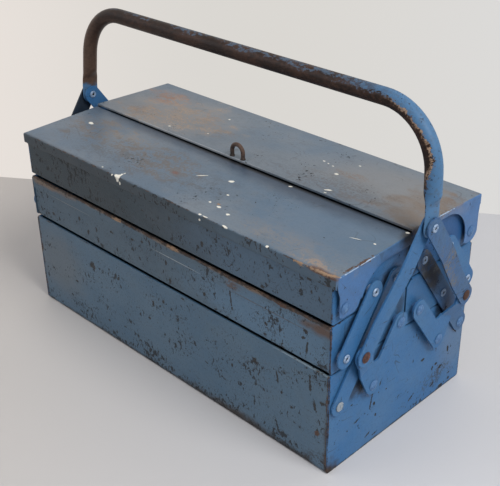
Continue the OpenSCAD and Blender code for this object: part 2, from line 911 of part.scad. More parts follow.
rear_lid();
padlock_staple();
long_link(LEFT, FRONT);  // front_long_link_left
long_link(RIGHT, FRONT);  // front_long_link_right
long_link(LEFT, REAR);  // rear_long_link_left
long_link(RIGHT, REAR);  // rear_long_link_right
crank(LEFT, FRONT, lobe_off_of(LEFT, FRONT));  // front_crank_left
crank(RIGHT, FRONT, lobe_off_of(RIGHT, FRONT));  // front_crank_right
crank(LEFT, REAR, lobe_off_of(LEFT, REAR));  // rear_crank_left
crank(RIGHT, REAR, lobe_off_of(RIGHT, REAR));  // rear_crank_right
crank_rivets(FRONT);  // front_crank_rivets
crank_rivets(REAR);  // rear_crank_rivets
short_link(LEFT, FRONT);  // front_short_link_left
short_link(RIGHT, FRONT);  // front_short_link_right
short_link(LEFT, REAR);  // rear_short_link_left
short_link(RIGHT, REAR);  // rear_short_link_right
handle_link(LEFT, FRONT);  // front_handle_link_left
handle_link(RIGHT, FRONT);  // front_handle_link_right
handle_link(LEFT, REAR);  // rear_handle_link_left
handle_link(RIGHT, REAR);  // rear_handle_link_right
handle_link_eyelets(FRONT);  // front_handle_link_eyelets
handle_link_eyelets(REAR);  // rear_handle_link_eyelets
handle_pins();
handle();
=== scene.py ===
"""Looks of a worn blue cantilever toolbox: softened sheet metal, turned rivets, bent tube and old enamel."""

import logging
import math
from collections.abc import Callable, Iterable, Iterator, Sequence
from contextlib import contextmanager
from dataclasses import dataclass, field
from enum import Enum
from typing import Any

import bpy
from mathutils import Matrix, Vector


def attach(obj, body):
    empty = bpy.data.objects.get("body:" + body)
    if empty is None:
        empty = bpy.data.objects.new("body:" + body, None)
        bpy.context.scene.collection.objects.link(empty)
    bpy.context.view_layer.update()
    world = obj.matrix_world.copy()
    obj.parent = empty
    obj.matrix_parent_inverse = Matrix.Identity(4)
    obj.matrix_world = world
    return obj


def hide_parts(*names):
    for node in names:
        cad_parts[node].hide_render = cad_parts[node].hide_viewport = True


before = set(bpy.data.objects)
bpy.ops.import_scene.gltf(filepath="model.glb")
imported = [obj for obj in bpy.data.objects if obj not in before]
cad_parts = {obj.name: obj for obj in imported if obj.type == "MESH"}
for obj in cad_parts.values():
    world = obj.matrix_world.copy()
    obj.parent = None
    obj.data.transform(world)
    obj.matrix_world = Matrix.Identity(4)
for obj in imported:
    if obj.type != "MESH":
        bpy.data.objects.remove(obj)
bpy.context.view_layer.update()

log = logging.getLogger("toolbox")

Colour = tuple[float, float, float, float]
Point = tuple[float, float, float]

MM = 0.001
# Distance in metres below which two points are the same one.
SAME_POINT = 2e-6
# Angle in degrees up to which drawn tube and wire are shaded smooth.
ROUND_ANGLE = 50.0
# Main faces of the box, in millimetres from its middle and from the ground.
WALL_Y = 101.5
SKIRT_Y = 102.2
PLATE_X = 215.0
FLANGE_X = 219.2
BASE_RIM = 107.0
MIDDLE_RIM = 156.5
TOP_RIM = 202.3
PIVOT_Z = 218.3


def tint(red: int, green: int, blue: int) -> Colour:
    """Turn a colour as seen on a screen into the linear values that shaders use.

    Args:
        red: Red from 0 to 255.
        green: Green from 0 to 255.
        blue: Blue from 0 to 255.

    Returns:
        The linear colour with full opacity.
    """
    parts = [c / 255 for c in (red, green, blue)]
    linear = [p / 12.92 if p <= 0.04045 else ((p + 0.055) / 1.055) ** 2.4 for p in parts]
    return (linear[0], linear[1], linear[2], 1.0)


# ---- shader graphs


def operator(operation: str, swapped: bool = False) -> Callable[..., "Wire"]:
    """Make a method that adds a Math node.

    Args:
        operation: Blender's name of the operation.
        swapped: Whether the other term comes first, as in Python's reflected operators.

    Returns:
        The method.
    """
    def method(self: "Wire", *others: "Wire | float") -> "Wire":
        """Add the Math node and return its output."""
        terms = (self, *others)
        return self.graph.calc(operation, *(terms[::-1] if swapped else terms))

    return method


class Wire:
    """A number that varies over a surface; Python's operators on it add Math nodes."""

    __add__, __radd__ = operator("ADD"), operator("ADD", swapped=True)
    __sub__, __rsub__ = operator("SUBTRACT"), operator("SUBTRACT", swapped=True)
    __mul__, __rmul__ = operator("MULTIPLY"), operator("MULTIPLY", swapped=True)
    __truediv__, __rtruediv__ = operator("DIVIDE"), operator("DIVIDE", swapped=True)
    __pow__ = operator("POWER")
    __abs__ = operator("ABSOLUTE")
    most = operator("MAXIMUM")
    least = operator("MINIMUM")

    def __init__(self, graph: "Graph", plug: bpy.types.NodeSocket) -> None:
        """Keep the output socket and the graph that it belongs to."""
        self.graph = graph
        self.plug = plug

    def step(self, low: float, high: float, first: float, last: float) -> "Wire":
        """Return a smooth step from the first value at low to the last at high."""
        return self.graph.node(
            "MapRange", {"interpolation_type": "SMOOTHSTEP", "clamp": True},
            {0: self, 1: low, 2: high, 3: first, 4: last})

    def rise(self, low: float, high: float) -> "Wire":
        """Return a smooth step from 0 at low to 1 at high."""
        return self.step(low, high, 0.0, 1.0)

    def fall(self, low: float, high: float) -> "Wire":
        """Return a smooth step from 1 at low to 0 at high."""
        return self.step(low, high, 1.0, 0.0)


class Graph:
    """A node material under construction."""

    def __init__(self, name: str) -> None:
        """Start an empty node material.

        Args:
            name: Its name.
        """
        self.material = bpy.data.materials.new(name)
        self.material.use_nodes = True
        self.tree = self.material.node_tree
        self.tree.nodes.clear()
        self.place = self.node("TexCoord", output=3)
        parts = self.tree.nodes.new("ShaderNodeSeparateXYZ")
        self.tree.links.new(self.place.plug, parts.inputs[0])
        self.x, self.y, self.z = (Wire(self, plug) * 1000.0 for plug in parts.outputs)

    def node(
        self, kind: str, settings: dict[str, Any] | None = None, values: dict[int | str, Any] | None = None,
        output: int = 0,
    ) -> Wire:
        """Add one node.

        Args:
            kind: Blender's type name of the node, after ShaderNode.
            settings: Properties to set first.
            values: Values or wires for its inputs, by number or name.
            output: Number of the output to return.

        Returns:
            The chosen output.
        """
        made = self.tree.nodes.new(f"ShaderNode{kind}")
        for key, value in (settings or {}).items():
            setattr(made, key, value)
        for key, value in (values or {}).items():
            if isinstance(value, Wire):
                self.tree.links.new(value.plug, made.inputs[key])
            else:
                made.inputs[key].default_value = value
        return Wire(self, made.outputs[output])

    def calc(self, operation: str, *terms: Wire | float) -> Wire:
        """Add a Math node for an operation on one or two terms."""
        return self.node("Math", {"operation": operation}, dict(enumerate(terms)))

    def mix(self, share: Wire | float, under: Wire | Colour, over: Wire | Colour) -> Wire:
        """Lay one colour over another by a share from 0 to 1."""
        return self.node(
            "Mix", {"data_type": "RGBA", "clamp_factor": True}, {0: share, 6: under, 7: over}, output=2)

    def clouds(
        self, size: Point, seed: float, detail: float = 3.0, rough: float = 0.55, warp: float = 0.0
    ) -> Wire:
        """Return soft noise.

        Args:
            size: Size of its features along each axis in millimetres.
            seed: Shift that sets it apart from other noise.
            detail: Number of finer layers.
            rough: Strength of the finer layers.
            warp: Distortion.

        Returns:
            The noise, from 0 to 1.
        """
        place = self.node("Mapping", values={
            "Vector": self.place, "Location": (seed, 1.7 * seed, 2.3 * seed),
            "Scale": tuple(1 / (MM * s) for s in size)})
        return self.node("TexNoise", values={
            "Vector": place, "Scale": 1.0, "Detail": detail, "Roughness": rough, "Distortion": warp})

    def reach(self, centre: Point, turn: Point, size: Point) -> Wire:
        """Return how far a point lies from a centre.

        Args:
            centre: Centre of an ellipsoid in millimetres.
            turn: Its turn about x, y and z.
            size: Its half axes in millimetres.

        Returns:
            0 at the centre and 1 on the ellipsoid.
        """
        local = self.node("Mapping", {"vector_type": "TEXTURE"}, {
            "Vector": self.place, "Location": tuple(MM * c for c in centre), "Rotation": turn,
            "Scale": tuple(MM * s for s in size)})
        return self.node("VectorMath", {"operation": "LENGTH"}, {0: local}, output=1)

    def close(self, surface: Wire) -> bpy.types.Material:
        """Connect the surface shader and return the finished material."""
        end = self.tree.nodes.new("ShaderNodeOutputMaterial")
        self.tree.links.new(surface.plug, end.inputs["Surface"])
        return self.material

    def finish(
        self, colour: Wire | Colour, roughness: Wire | float, height: Wire | None = None,
        metal: Wire | float = 0.0, shine: float = 0.5,
    ) -> bpy.types.Material:
        """Close the material with a Principled shader.

        Args:
            colour: Base colour.
            roughness: Roughness from 0 to 1.
            height: Height in millimetres for the bump, or None.
            metal: Metallic share.
            shine: Strength of the mirror reflection, 0.5 being that of common paint.

        Returns:
            The finished material.
        """
        values: dict[int | str, Any] = {
            "Base Color": colour, "Roughness": roughness, "Metallic": metal, "Specular IOR Level": shine}
        if height is not None:
            values["Normal"] = self.node("Bump", values={"Strength": 1.0, "Distance": MM, "Height": height})
        return self.close(self.node("BsdfPrincipled", values=values))


# ---- finishes


class Axis(Enum):
    """Coordinate of an edge; the ends and the long sides mirror each other."""

    LENGTH = "length"
    WIDTH = "width"
    HEIGHT = "height"


@dataclass(frozen=True)
class WornEdge:
    """An edge that knocks have bared: where two planes meet, how far the wear reaches and how much of it."""

    first: Axis
    first_at: float
    second: Axis
    second_at: float
    reach: float
    amount: float


def lid_height(y: float) -> float:
    """Return the height of the lids' upper face; the rear lid is the higher one."""
    if y < -3.4:
        return 205.5 + 2.5 * (y + SKIRT_Y) / 98.0
    return 207.3 + 3.5 * (SKIRT_Y - y) / 104.8


class Plane(Enum):
    """Face that a mark lies on."""

    TOP = "top"
    FRONT = "front"
    END = "end"
    BRIM = "brim"


class Tone(Enum):
    """Colour of a mark: wall paint, bare steel gone dark, brown rust, light rust or a pale painted highlight."""

    CREAM = (226, 222, 210)
    DARK = (38, 40, 43)
    BROWN = (78, 56, 46)
    TAN = (142, 116, 92)
    PALE = (150, 172, 196)


@dataclass(frozen=True)
class Mark:
    """A spot or stroke on one face: a drop of paint, a chip, a scratch or a painted highlight, in millimetres.

    The place is (x, y) on the top, (x, z) on the front wall, and (y, z) on the right end or a lid's brim. The
    size is half of the length and of the width, and the turn goes from the first direction to the second.
    """

    plane: Plane
    tone: Tone
    first: float
    second: float
    long: float
    wide: float
    turn: float = 0.0

    def stretch(self) -> tuple[Point, Point, Point]:
        """Find the ellipsoid that the mark cuts from its face.

        Returns:
            Its centre, turn and size.
        """
        turn = math.radians(self.turn)
        deep, flat, thin = 14.0, 2.4, 1.6
        if self.plane is Plane.TOP:
            place = (self.first, self.second, lid_height(self.second))
            return place, (0.0, 0.0, turn), (self.long, self.wide, flat)
        if self.plane is Plane.FRONT:
            return (self.first, -WALL_Y, self.second), (0.0, -turn, 0.0), (self.long, deep, self.wide)
        if self.plane is Plane.BRIM:
            return (FLANGE_X, self.first, self.second), (turn, 0.0, 0.0), (thin, self.long, self.wide)
        return (PLATE_X - 0.5, self.first, self.second), (turn, 0.0, 0.0), (deep, self.long, self.wide)


def marks(plane: Plane, tone: Tone, rows: Iterable[tuple[float, ...]]) -> tuple[Mark, ...]:
    """Mark spots and strokes of one tone on one face from rows of place, size and turn."""
    return tuple(Mark(plane, tone, *row) for row in rows)


@dataclass(frozen=True)
class Smudge:
    """A soft stain, faded patch or painted shade or light: place, reach along each axis, colour, strength and
    breaking up.
    """

    place: Point
    reach: Point
    colour: Colour
    amount: float
    broken: float


def smudges(rows: Iterable[tuple[float, ...]]) -> tuple[Smudge, ...]:
    """List stains and painted shades from rows of place, reach, screen colour, strength and breaking up."""
    return tuple(Smudge(row[:3], row[3:6], tint(*row[6:9]), row[9], row[10]) for row in rows)


@dataclass(frozen=True)
class Zone:
    """A part of a piece with another paint: beyond a distance from the middle, and below a height; on the lids,
    partly painted shade and light.
    """

    axis: Axis
    beyond: float
    paint: Colour
    below: float = 1000.0


@dataclass(frozen=True)
class Enamel:
    """Old blue enamel with chips, scratches, stains, worn edges, and painted shade and light."""

    name: str
    paint: Colour
    faded: Colour
    seed: float
    fade: float = 0.6
    zones: tuple[Zone, ...] = ()
    smudges: tuple[Smudge, ...] = ()
    chip_share: float = 0.25
    low_chips: float = 0.0
    side_chips: float = 0.0
    brown: float = 0.2
    scratches: float = 0.3
    gloss: float = 0.42
    dents: float = 1.0
    shine: float = 0.5
    edges: tuple[WornEdge, ...] = ()
    marks: tuple[Mark, ...] = ()

    chip_colour: Colour = tint(38, 40, 43)
    rust_dark: Colour = tint(42, 36, 34)
    rust_light: Colour = tint(84, 64, 52)

    def build(self) -> bpy.types.Material:
        """Build the node material.

        Returns:
            The finished material.
        """
        g = Graph(self.name)

        def noise(size: Point, shift: float, *look: float) -> Wire:
            """Return noise of this finish's own."""
            return g.clouds(size, self.seed + shift, *look)

        across = {Axis.LENGTH: abs(g.x), Axis.WIDTH: abs(g.y), Axis.HEIGHT: g.z}
        broad = noise((90, 90, 60), 0)
        patch = noise((18, 14, 13), 5, 5.0, 0.65)
        grain = noise((2.2, 2.2, 2.2), 9, 3.0, 0.65)
        stain = noise((22, 9, 16), 21, 6.0, 0.7, 0.4)
        deep = (*(0.5 * c for c in self.paint[:3]), 1.0)

        # Faded paint, other paint in the zones, and the first brown of rust.
        colour = g.mix((broad * 0.6 + patch * 0.4).rise(0.38, 0.64) * self.fade, self.paint, self.faded)
        for zone in self.zones:
            mask = across[zone.axis].rise(zone.beyond - 0.3, zone.beyond + 0.3)
            mask = mask * g.z.fall(zone.below - 0.3, zone.below + 0.3)
            colour = g.mix(mask, colour, zone.paint)
        colour = g.mix(patch.rise(0.5, 0.72) * 0.22, colour, deep)
        colour = g.mix((grain - 0.46) * 1.1, colour, deep)
        rust = g.mix(noise((5, 5, 5), 12).rise(0.42, 0.66), self.rust_dark, self.rust_light)
        brown = stain.rise(0.56, 0.74) * self.brown
        colour = g.mix(brown * 0.7, colour, rust)

        # Stains, and painted shade and light; the most broken ones only show where the paint is worn through.
        worn_through = (stain * 0.5 + grain * 0.5).rise(0.45, 0.55)
        for stain_or_shade in self.smudges:
            near = g.reach(stain_or_shade.place, (0.0, 0.0, 0.0), stain_or_shade.reach)
            mask = (near + (patch - 0.5) * (2.4 * stain_or_shade.broken)).fall(0.25, 1.0)
            if stain_or_shade.broken > 0.7:
                mask = mask * worn_through
            colour = g.mix(mask * stain_or_shade.amount, colour, stain_or_shade.colour)

        # Chips that gather in clusters, low down and on the outer faces, and hair-fine scratches.
        outside = across[Axis.WIDTH].rise(100.7, 101.3).most(across[Axis.LENGTH].rise(214.3, 214.8))
        cluster = noise((44, 44, 30), 4) + g.z.fall(4.0, 34.0) * outside * (0.16 * self.low_chips)
        cluster = cluster + across[Axis.WIDTH].rise(101.2, 101.8) * self.side_chips
        level = 0.75 - 0.12 * self.chip_share
        speck = noise((3.6, 3.6, 5.6), 2, 3.0, 0.6, 0.5)
        chips = (speck + (cluster - 0.5) * 0.7).rise(level, level + 0.03)
        tiny = noise((1.6, 1.6, 2.4), 8, 2.0) + (cluster - 0.5) * 0.3
        chips = chips.most(tiny.rise(level - 0.03, level + 0.02) * 0.55)
        long_line = noise((60, 60, 7), 14, 2.0, 0.4, 0.6)
        tall_line = noise((4.5, 60, 50), 17, 2.0, 0.4, 0.5)
        lines = abs(long_line - 0.5).fall(0.002, 0.006) * noise((30, 30, 30), 15, 1.0).rise(0.5, 0.62)
        tall = abs(tall_line - 0.5).fall(0.0015, 0.005) * noise((26, 26, 26), 18, 1.0).rise(0.54, 0.64)
        lines = lines.most(tall)
        colour = g.mix(lines * self.scratches, colour, self.chip_colour)
        colour = g.mix(chips * 0.9, colour, self.chip_colour)

        # Edges bared by knocks.
        ragged = noise((16, 16, 16), 6, 6.0, 0.75)
        bare = chips
        for worn in self.edges:
            near = abs(across[worn.first] - worn.first_at).most(abs(across[worn.second] - worn.second_at))
            wear = ((ragged - (0.62 - 0.3 * worn.amount)) * 5.0).least(1.3)
            mask = (near / worn.reach - wear).fall(-0.2, 0.2)
            colour = g.mix(mask * 0.9, colour, rust)
            bare = bare.most(mask)

        # Marks at their own places: drops of wall paint are whole, all others break up.
        scatter = noise((3.4, 3.4, 4.0), 50, 4.0, 0.75)
        for tone in Tone:
            near = None
            for mark in self.marks:
                if mark.tone is tone:
                    one = g.reach(*mark.stretch())
                    near = one if near is None else near.least(one)
            if near is None:
                continue
            if tone is Tone.CREAM:
                mask = (near + (grain - 0.5) * 1.3).fall(0.72, 1.0)
            else:
                mask = (near * 0.7 + (scatter - 0.5) * 3.0).fall(0.62, 0.84)
            colour = g.mix(mask, colour, tint(*tone.value))
            bare = bare.most(mask * 0.8)

        rough = (broad * 0.12 + patch * 0.14 + (self.gloss - 0.1)).most(bare * 0.75).most(brown * 0.62)
        dent = noise((75, 75, 60), 40, 1.0) * (3.2 * self.dents)
        height = dent + grain * 0.06 - bare * 0.28 + patch * 0.25
        return g.finish(colour, rough, height, shine=self.shine)


@dataclass(frozen=True)
class BareSteel:
    """Zinc-plated or bare steel of the rivets, with grime and remains of paint."""

    name: str
    metal: Colour
    grime: Colour
    grime_share: float
    metallic: float
    gloss: float
    seed: float = 0.0

    def build(self) -> bpy.types.Material:
        """Build the node material.

        Returns:
            The finished material.
        """
        g = Graph(self.name)
        patch = g.clouds((3, 3, 3), self.seed, 4.0, 0.65)
        mask = patch.rise(0.56 - 0.35 * self.grime_share, 0.86 - 0.3 * self.grime_share)
        colour = g.mix(mask, self.metal, self.grime)
        return g.finish(colour, mask * 0.3 + self.gloss, patch * 0.12, (1.0 - mask) * self.metallic)


@dataclass(frozen=True)
class Rust:
    """Rusted steel, brown with darker and lighter scale."""

    name: str
    dark: Colour
    light: Colour
    seed: float

    def build(self) -> bpy.types.Material:
        """Build the node material.

        Returns:
            The finished material.
        """
        g = Graph(self.name)
        scale = g.clouds((2.6, 2.6, 2.6), self.seed, 5.0, 0.7)
        broad = g.clouds((14, 14, 14), self.seed + 2)
        colour = g.mix((scale * 0.6 + broad * 0.4).rise(0.38, 0.62), self.dark, self.light)
        return g.finish(colour, scale * 0.25 + 0.6, scale * 0.3, 0.15)


@dataclass(frozen=True)
class GripPatina:
    """The tube's finish: blue paint that is left outside the right bend and leg, over worn brown steel."""

    name: str = "grip_patina"
    steel: Colour = tint(34, 23, 19)
    brown: Colour = tint(62, 42, 33)
    bare: Colour = tint(100, 80, 68)
    blue: Colour = tint(74, 114, 152)
    grey: Colour = tint(76, 88, 100)
    scraped: Colour = tint(164, 138, 116)
    bend_x: float = 175.9
    bend_z: float = 261.3
    bend_r: float = 55.5

    def build(self) -> bpy.types.Material:
        """Build the node material.

        Returns:
            The finished material.
        """
        g = Graph(self.name)
        broad = g.clouds((38, 20, 26), 3.0, 4.0, 0.6)
        fine = g.clouds((5, 3.2, 3.2), 7.0, 5.0, 0.7)
        colour = g.mix((broad * 0.5 + fine * 0.5).rise(0.42, 0.6), self.steel, self.brown)
        colour = g.mix(g.x.fall(-232.0, -200.0) * (fine * 0.8 + 0.2), colour, self.bare)

        # Paint is kept beyond a line that runs along the tube, and on the left foot.
        along = (g.x - self.bend_x).most(0.0)
        up = (g.z - self.bend_z).most(0.0)
        outward = g.calc("SQRT", along ** 2.0 + up ** 2.0) - self.bend_r + g.y * 0.5
        rub = (broad - 0.5) * 20.0 + (fine - 0.5) * 16.0
        line = g.z.rise(252.0, 294.0) * 7.0 + g.x.fall(0.0, 190.0) * 4.6 - 3.6
        kept = (outward + rub - line).rise(-0.6, 0.6)
        foot = (g.z + (broad - 0.5) * 40.0).fall(228.0, 236.0) * g.x.fall(-3.0, 3.0)
        kept = kept.most(foot)
        on_grip = g.x.fall(120.0, 200.0) * (1.0 - foot)
        flecks = g.clouds((8, 4.5, 4.5), 11.0, 4.0, 0.75).rise(0.46, 0.56)
        kept = kept * (1.0 - on_grip * (1.0 - flecks))

        # Light scrapes between the steel and the paint of the bend.
        scrape = (outward + rub * 0.9 - line).rise(-4.6, -1.6) * (1.0 - kept) * g.x.rise(176.0, 196.0)
        scrape = scrape * g.z.rise(250.0, 266.0) * g.clouds((2.4, 2.4, 2.4), 9.0, 3.0, 0.7).rise(0.42, 0.54)
        colour = g.mix(scrape * 0.85, colour, self.scraped)
        blue = g.mix(fine.rise(0.46, 0.7) * 0.5, self.blue, self.grey)
        blue = g.mix(on_grip * 0.7, blue, self.grey)
        colour = g.mix(kept * (0.94 - on_grip * 0.2), colour, blue)
        chips = g.clouds((3.4, 3.4, 5.0), 4.0, 3.0, 0.6).rise(0.64, 0.67) * kept
        colour = g.mix(chips, colour, self.steel)
        height = fine * 0.12 + broad * 0.3 - chips * 0.15
        return g.finish(colour, fine * 0.18 + kept * 0.06 + 0.34, height, shine=0.22)


def sheet_edges(rim: float, wall: float, low: float | None = None) -> tuple[WornEdge, ...]:
    """List the worn edges of a folded trough.

    Args:
        rim: Height of its top rim in millimetres.
        wall: Distance of its outer wall from the middle.
        low: Height of its underside, or None to leave the lower edge whole.

    Returns:
        The edges.
    """
    edges = [
        WornEdge(Axis.WIDTH, wall, Axis.HEIGHT, rim, 1.6, 0.4),
        WornEdge(Axis.LENGTH, 214.2, Axis.WIDTH, wall, 1.6, 0.5)]
    if low is not None:
        edges.append(WornEdge(Axis.WIDTH, wall, Axis.HEIGHT, low, 1.6, 0.4))
    return tuple(edges)


# ---- wear that the photograph shows, with painted shade and light

# Screen colours that several stains and painted shades share.
SAND = (112, 88, 64)
RUST_BROWN = (84, 60, 46)
DUST = (136, 124, 112)
SHADE = (38, 52, 72)
GRIME_AND_SHADE = (30, 32, 38)

# Stains, painted shade and painted light: place along x, y and z, reach along them, screen colour, strength,
# breaking up.
BASE_STAINS = (
    (95, -101.5, 1, 90, 10, 12, 54, 47, 44, 1, 0.65), (-20, -101.5, -1, 330, 10, 7, 28, 27, 28, 1, 0.6),
    (150, -101.5, -1, 110, 10, 10, 30, 26, 25, 1, 0.65), (216, -101.5, -2, 44, 30, 30, 34, 24, 20, 1, 0.75),
    (215.4, -101.5, 30, 6.5, 8, 76, 40, 30, 26, 1, 0.65),
    # Painted highlight: a pale line just under the base's rim.
    (190, -101.5, 106.8, 60, 10, 1.2, 132, 150, 160, 0.8, 0.2),
    (-180, -101.5, 60, 60, 20, 60, 98, 102, 104, 0.5, 0.3),
)
MIDDLE_STAINS = (
    (150, -101.5, 128, 160, 30, 40, 84, 116, 142, 0.8, 0.3), (-180, -101.5, 154, 60, 12, 6, *SAND, 0.8, 0.6),
    (-90, -101.5, 156, 80, 12, 3, *SAND, 0.8, 0.6), (0, -101.5, 156, 60, 12, 4, *SAND, 0.8, 0.6),
    (120, -101.5, 156.5, 110, 12, 4.4, *SAND, 0.9, 0.5), (206, -101.5, 150, 34, 12, 9, *RUST_BROWN, 0.9, 0.6),
    (98, -101.5, 149, 14, 12, 6, *RUST_BROWN, 0.8, 0.8),
    # Painted light and shade at the hem's lower edge: two pale highlight lines at z 143, and a dark brown line at
    # z 142, painted shade under the hem with dirt.
    (20, -101.5, 143, 46, 12, 0.9, 150, 160, 164, 0.9, 0.2),
    (-150, -101.5, 143, 60, 12, 0.8, 112, 120, 122, 0.8, 0.2),
    (140, -101.5, 142, 90, 12, 1.2, 84, 66, 54, 0.9, 0.3),
)
TOP_STAINS = (
    # Painted shade under the lid's overhang: the first row darkens the left and middle of the top tray's wall,
    # the second keeps its right part lighter.
    (-150, -101, 180, 230, 30, 90, 24, 44, 54, 0.8, 0.3), (160, -101, 180, 170, 30, 60, 72, 100, 124, 0.7, 0.3),
)
# Painted shade along the seam between the lids: the two rows in SHADE, the near-black line at y -4 and the
# near-black spot on the end flange at y -6. The two long rows on the skirt at z 200 make it darker at the left
# and lighter at the right.
FRONT_LID_STAINS = (
    (-172, -42, 208, 46, 34, 20, 112, 100, 90, 0.75, 0.9), (-116, -46, 208, 60, 34, 20, *DUST, 0.7, 0.9),
    (-45, -56, 208, 60, 34, 20, 118, 104, 92, 0.7, 0.9), (-70, -60, 208, 150, 40, 20, 76, 76, 78, 0.6, 1),
    (150, -82, 208, 70, 22, 20, *DUST, 0.6, 0.9), (190, -94, 206, 34, 12, 10, 150, 128, 108, 0.8, 0.8),
    (160, -40, 208, 120, 70, 20, 72, 98, 122, 0.65, 0.3), (-80, -3, 208, 220, 20, 20, *SHADE, 0.7, 0.2),
    (110, -3, 208, 190, 30, 20, *SHADE, 0.75, 0.2), (40, -4, 208, 260, 6, 8, 18, 22, 28, 1, 0.1),
    (-150, -101.5, 200, 230, 4, 12, 38, 48, 56, 0.65, 0.3),
    (170, -101.5, 200, 150, 4, 12, 70, 94, 114, 0.7, 0.3), (-21, -59, 208, 6, 4, 12, 104, 66, 56, 0.8, 0.6),
    (205, -101, 204.6, 24, 6, 2.6, 88, 58, 42, 1, 0.5), (219, -6, 204, 9, 16, 14, 26, 27, 30, 0.95, 0.5),
    (219.5, -34, 190, 6, 22, 12, 40, 66, 100, 0.8, 0.4),
)
REAR_LID_STAINS = (
    # The first row is painted light: a broad, warm, lighter patch over the left part of the rear lid.
    (-140, 30, 209, 130, 90, 30, 136, 132, 128, 0.5, 0.4), (150, 55, 209, 110, 60, 30, 126, 122, 118, 0.5, 0.4),
    (-172, 66, 209, 44, 24, 20, 134, 98, 78, 0.9, 0.9), (-149, 20, 209, 56, 30, 20, 104, 80, 66, 0.95, 1),
    (-111, 45, 209, 60, 36, 20, 100, 78, 66, 0.95, 1), (-70, 32, 209, 50, 20, 20, 112, 96, 84, 0.8, 0.9),
    (-120, 30, 209, 80, 60, 30, 160, 146, 132, 0.6, 1), (114, 46, 209, 24, 10, 20, 120, 100, 86, 0.6, 0.9),
    (159, 10, 209, 30, 7, 20, 120, 100, 86, 0.5, 0.9), (212, 68, 211, 16, 34, 6, 92, 68, 54, 0.9, 0.9),
    (206, 40, 212, 60, 80, 7, 108, 96, 86, 0.9, 0.7), (120, 20, 209, 80, 30, 20, 84, 80, 80, 0.6, 1),
    # The first row here is a painted highlight: a pale line along the rear lid's front edge by the seam.
    (-60, -2.4, 210.8, 170, 1.2, 3, 176, 180, 184, 0.7, 0.4), (218, 0, 207, 10, 10, 12, 58, 46, 40, 0.9, 0.6),
)
END_STAINS = (
    (215, -45, 66, 20, 14, 12, 60, 56, 58, 0.7, 1), (215, 90, 50, 20, 40, 50, 98, 116, 138, 0.5, 0.3),
    (215, 0, -1, 20, 130, 4, 34, 32, 34, 1, 0.6), (215, -101, 0, 20, 16, 24, 46, 34, 28, 1, 0.65),
    # The second row here is painted shade: deep blue over the rear top tray's end plate.
    (215, 62, 22, 20, 30, 16, 46, 52, 60, 0.8, 1), (215, 62, 186, 20, 80, 36, 38, 80, 128, 0.95, 0.1),
    # The near-black rows on the next six lines lie between and beside the links: painted shade, with grime.
    (215, -27.3, 168, 20, 16, 20, *GRIME_AND_SHADE, 0.9, 0.6), (215, -60.7, 143.2, 20, 12, 26, *GRIME_AND_SHADE, 0.85, 0.6),
    (215, -59.1, 77.9, 20, 12, 16, *GRIME_AND_SHADE, 0.9, 0.6), (215, 57.3, 108.2, 20, 12, 18, *GRIME_AND_SHADE, 0.8, 0.6),
    (215, 6.2, 173.5, 20, 12, 20, *GRIME_AND_SHADE, 0.9, 0.6), (215, -69.9, 74.1, 20, 8, 14, *GRIME_AND_SHADE, 0.7, 0.6),
    (215, -7.7, 140.6, 20, 10, 26, *GRIME_AND_SHADE, 0.6, 0.6), (213.5, -14, 168, 14, 9, 14, *GRIME_AND_SHADE, 0.8, 0.5),
    (213.5, -29, 151, 14, 9, 15, *GRIME_AND_SHADE, 0.8, 0.5), (213.5, -43, 132, 14, 9, 15, *GRIME_AND_SHADE, 0.8, 0.5),
    (213.5, 3, 190, 14, 14, 20, *GRIME_AND_SHADE, 0.8, 0.4), (214.5, 64, 96, 14, 16, 7, *GRIME_AND_SHADE, 0.7, 0.5),
    (-216.5, -101, 110, 6, 4, 130, 58, 72, 82, 1, 0),
)
WORN_LINK_STAINS = (
    (222, 30, 165, 30, 30, 40, 104, 100, 94, 0.9, 1), (217, 34, 150, 5, 26, 40, 34, 34, 38, 0.9, 0.6),
    (228, 44, 180, 14, 40, 60, 92, 96, 98, 0.7, 1),
)

# Chips, drops and strokes: place on their face, half length, half width, and the turn if there is one.
BASE_CHIPS = (
    (-117.1, 82.4, 3.4, 4.6, 20), (-72.6, 83.8, 2.6, 1.2, 60), (-17, 77.4, 1.4, 3), (-0.1, 87.6, 1.2, 2.2),
    (-24.4, 57.4, 1.6, 1.4), (-95.9, 21.6, 2, 1.2), (30.1, 103.6, 2.4, 1), (126.5, 80.5, 2.6, 3.6, 20),
    (154.4, 76, 0.9, 6.6, 10), (193.5, 88, 1.3, 10, 4), (199, 69, 1.4, 6, 12), (208, 75.6, 3, 1.6, 20),
    (160, 62, 1.2, 1.8), (172, 52, 1.6, 1.4), (96, 60, 1.2, 2.2), (60, 44, 1.8, 1.2), (-150, 48, 2, 1.4),
)
MIDDLE_CHIPS = (
    (-181.4, 120.2, 2.4, 1.6), (-119, 120.7, 1.4, 2.6), (-103.8, 129.1, 1.2, 2), (-77.8, 136.1, 2, 1.4),
    (-44, 141, 2.4, 1.6), (-27.6, 144.7, 1.6, 1.6), (5.9, 134.8, 1.4, 2.2), (11, 116.3, 1.6, 2.8),
    (-133.2, 131.9, 1.6, 2.2), (95.8, 131.5, 0.9, 9, 8), (186.1, 140.4, 2.2, 2.6), (188, 124, 0.9, 10, -6),
    (184.7, 133.1, 2.6, 1.2, 30), (60, 122, 1.4, 2), (140, 126, 1.6, 1.8),
)
TOP_CHIPS = (
    (135.8, 162.8, 2.4, 1.8), (189.4, 193.2, 2.2, 1.4), (192.5, 182.6, 1.6, 2.6), (-163.9, 166.1, 2, 1.6),
    (15.3, 185.5, 1.4, 2), (-23.7, 180.1, 1.6, 1.6), (60, 176, 1.6, 2.4), (110, 184, 1.2, 2),
)
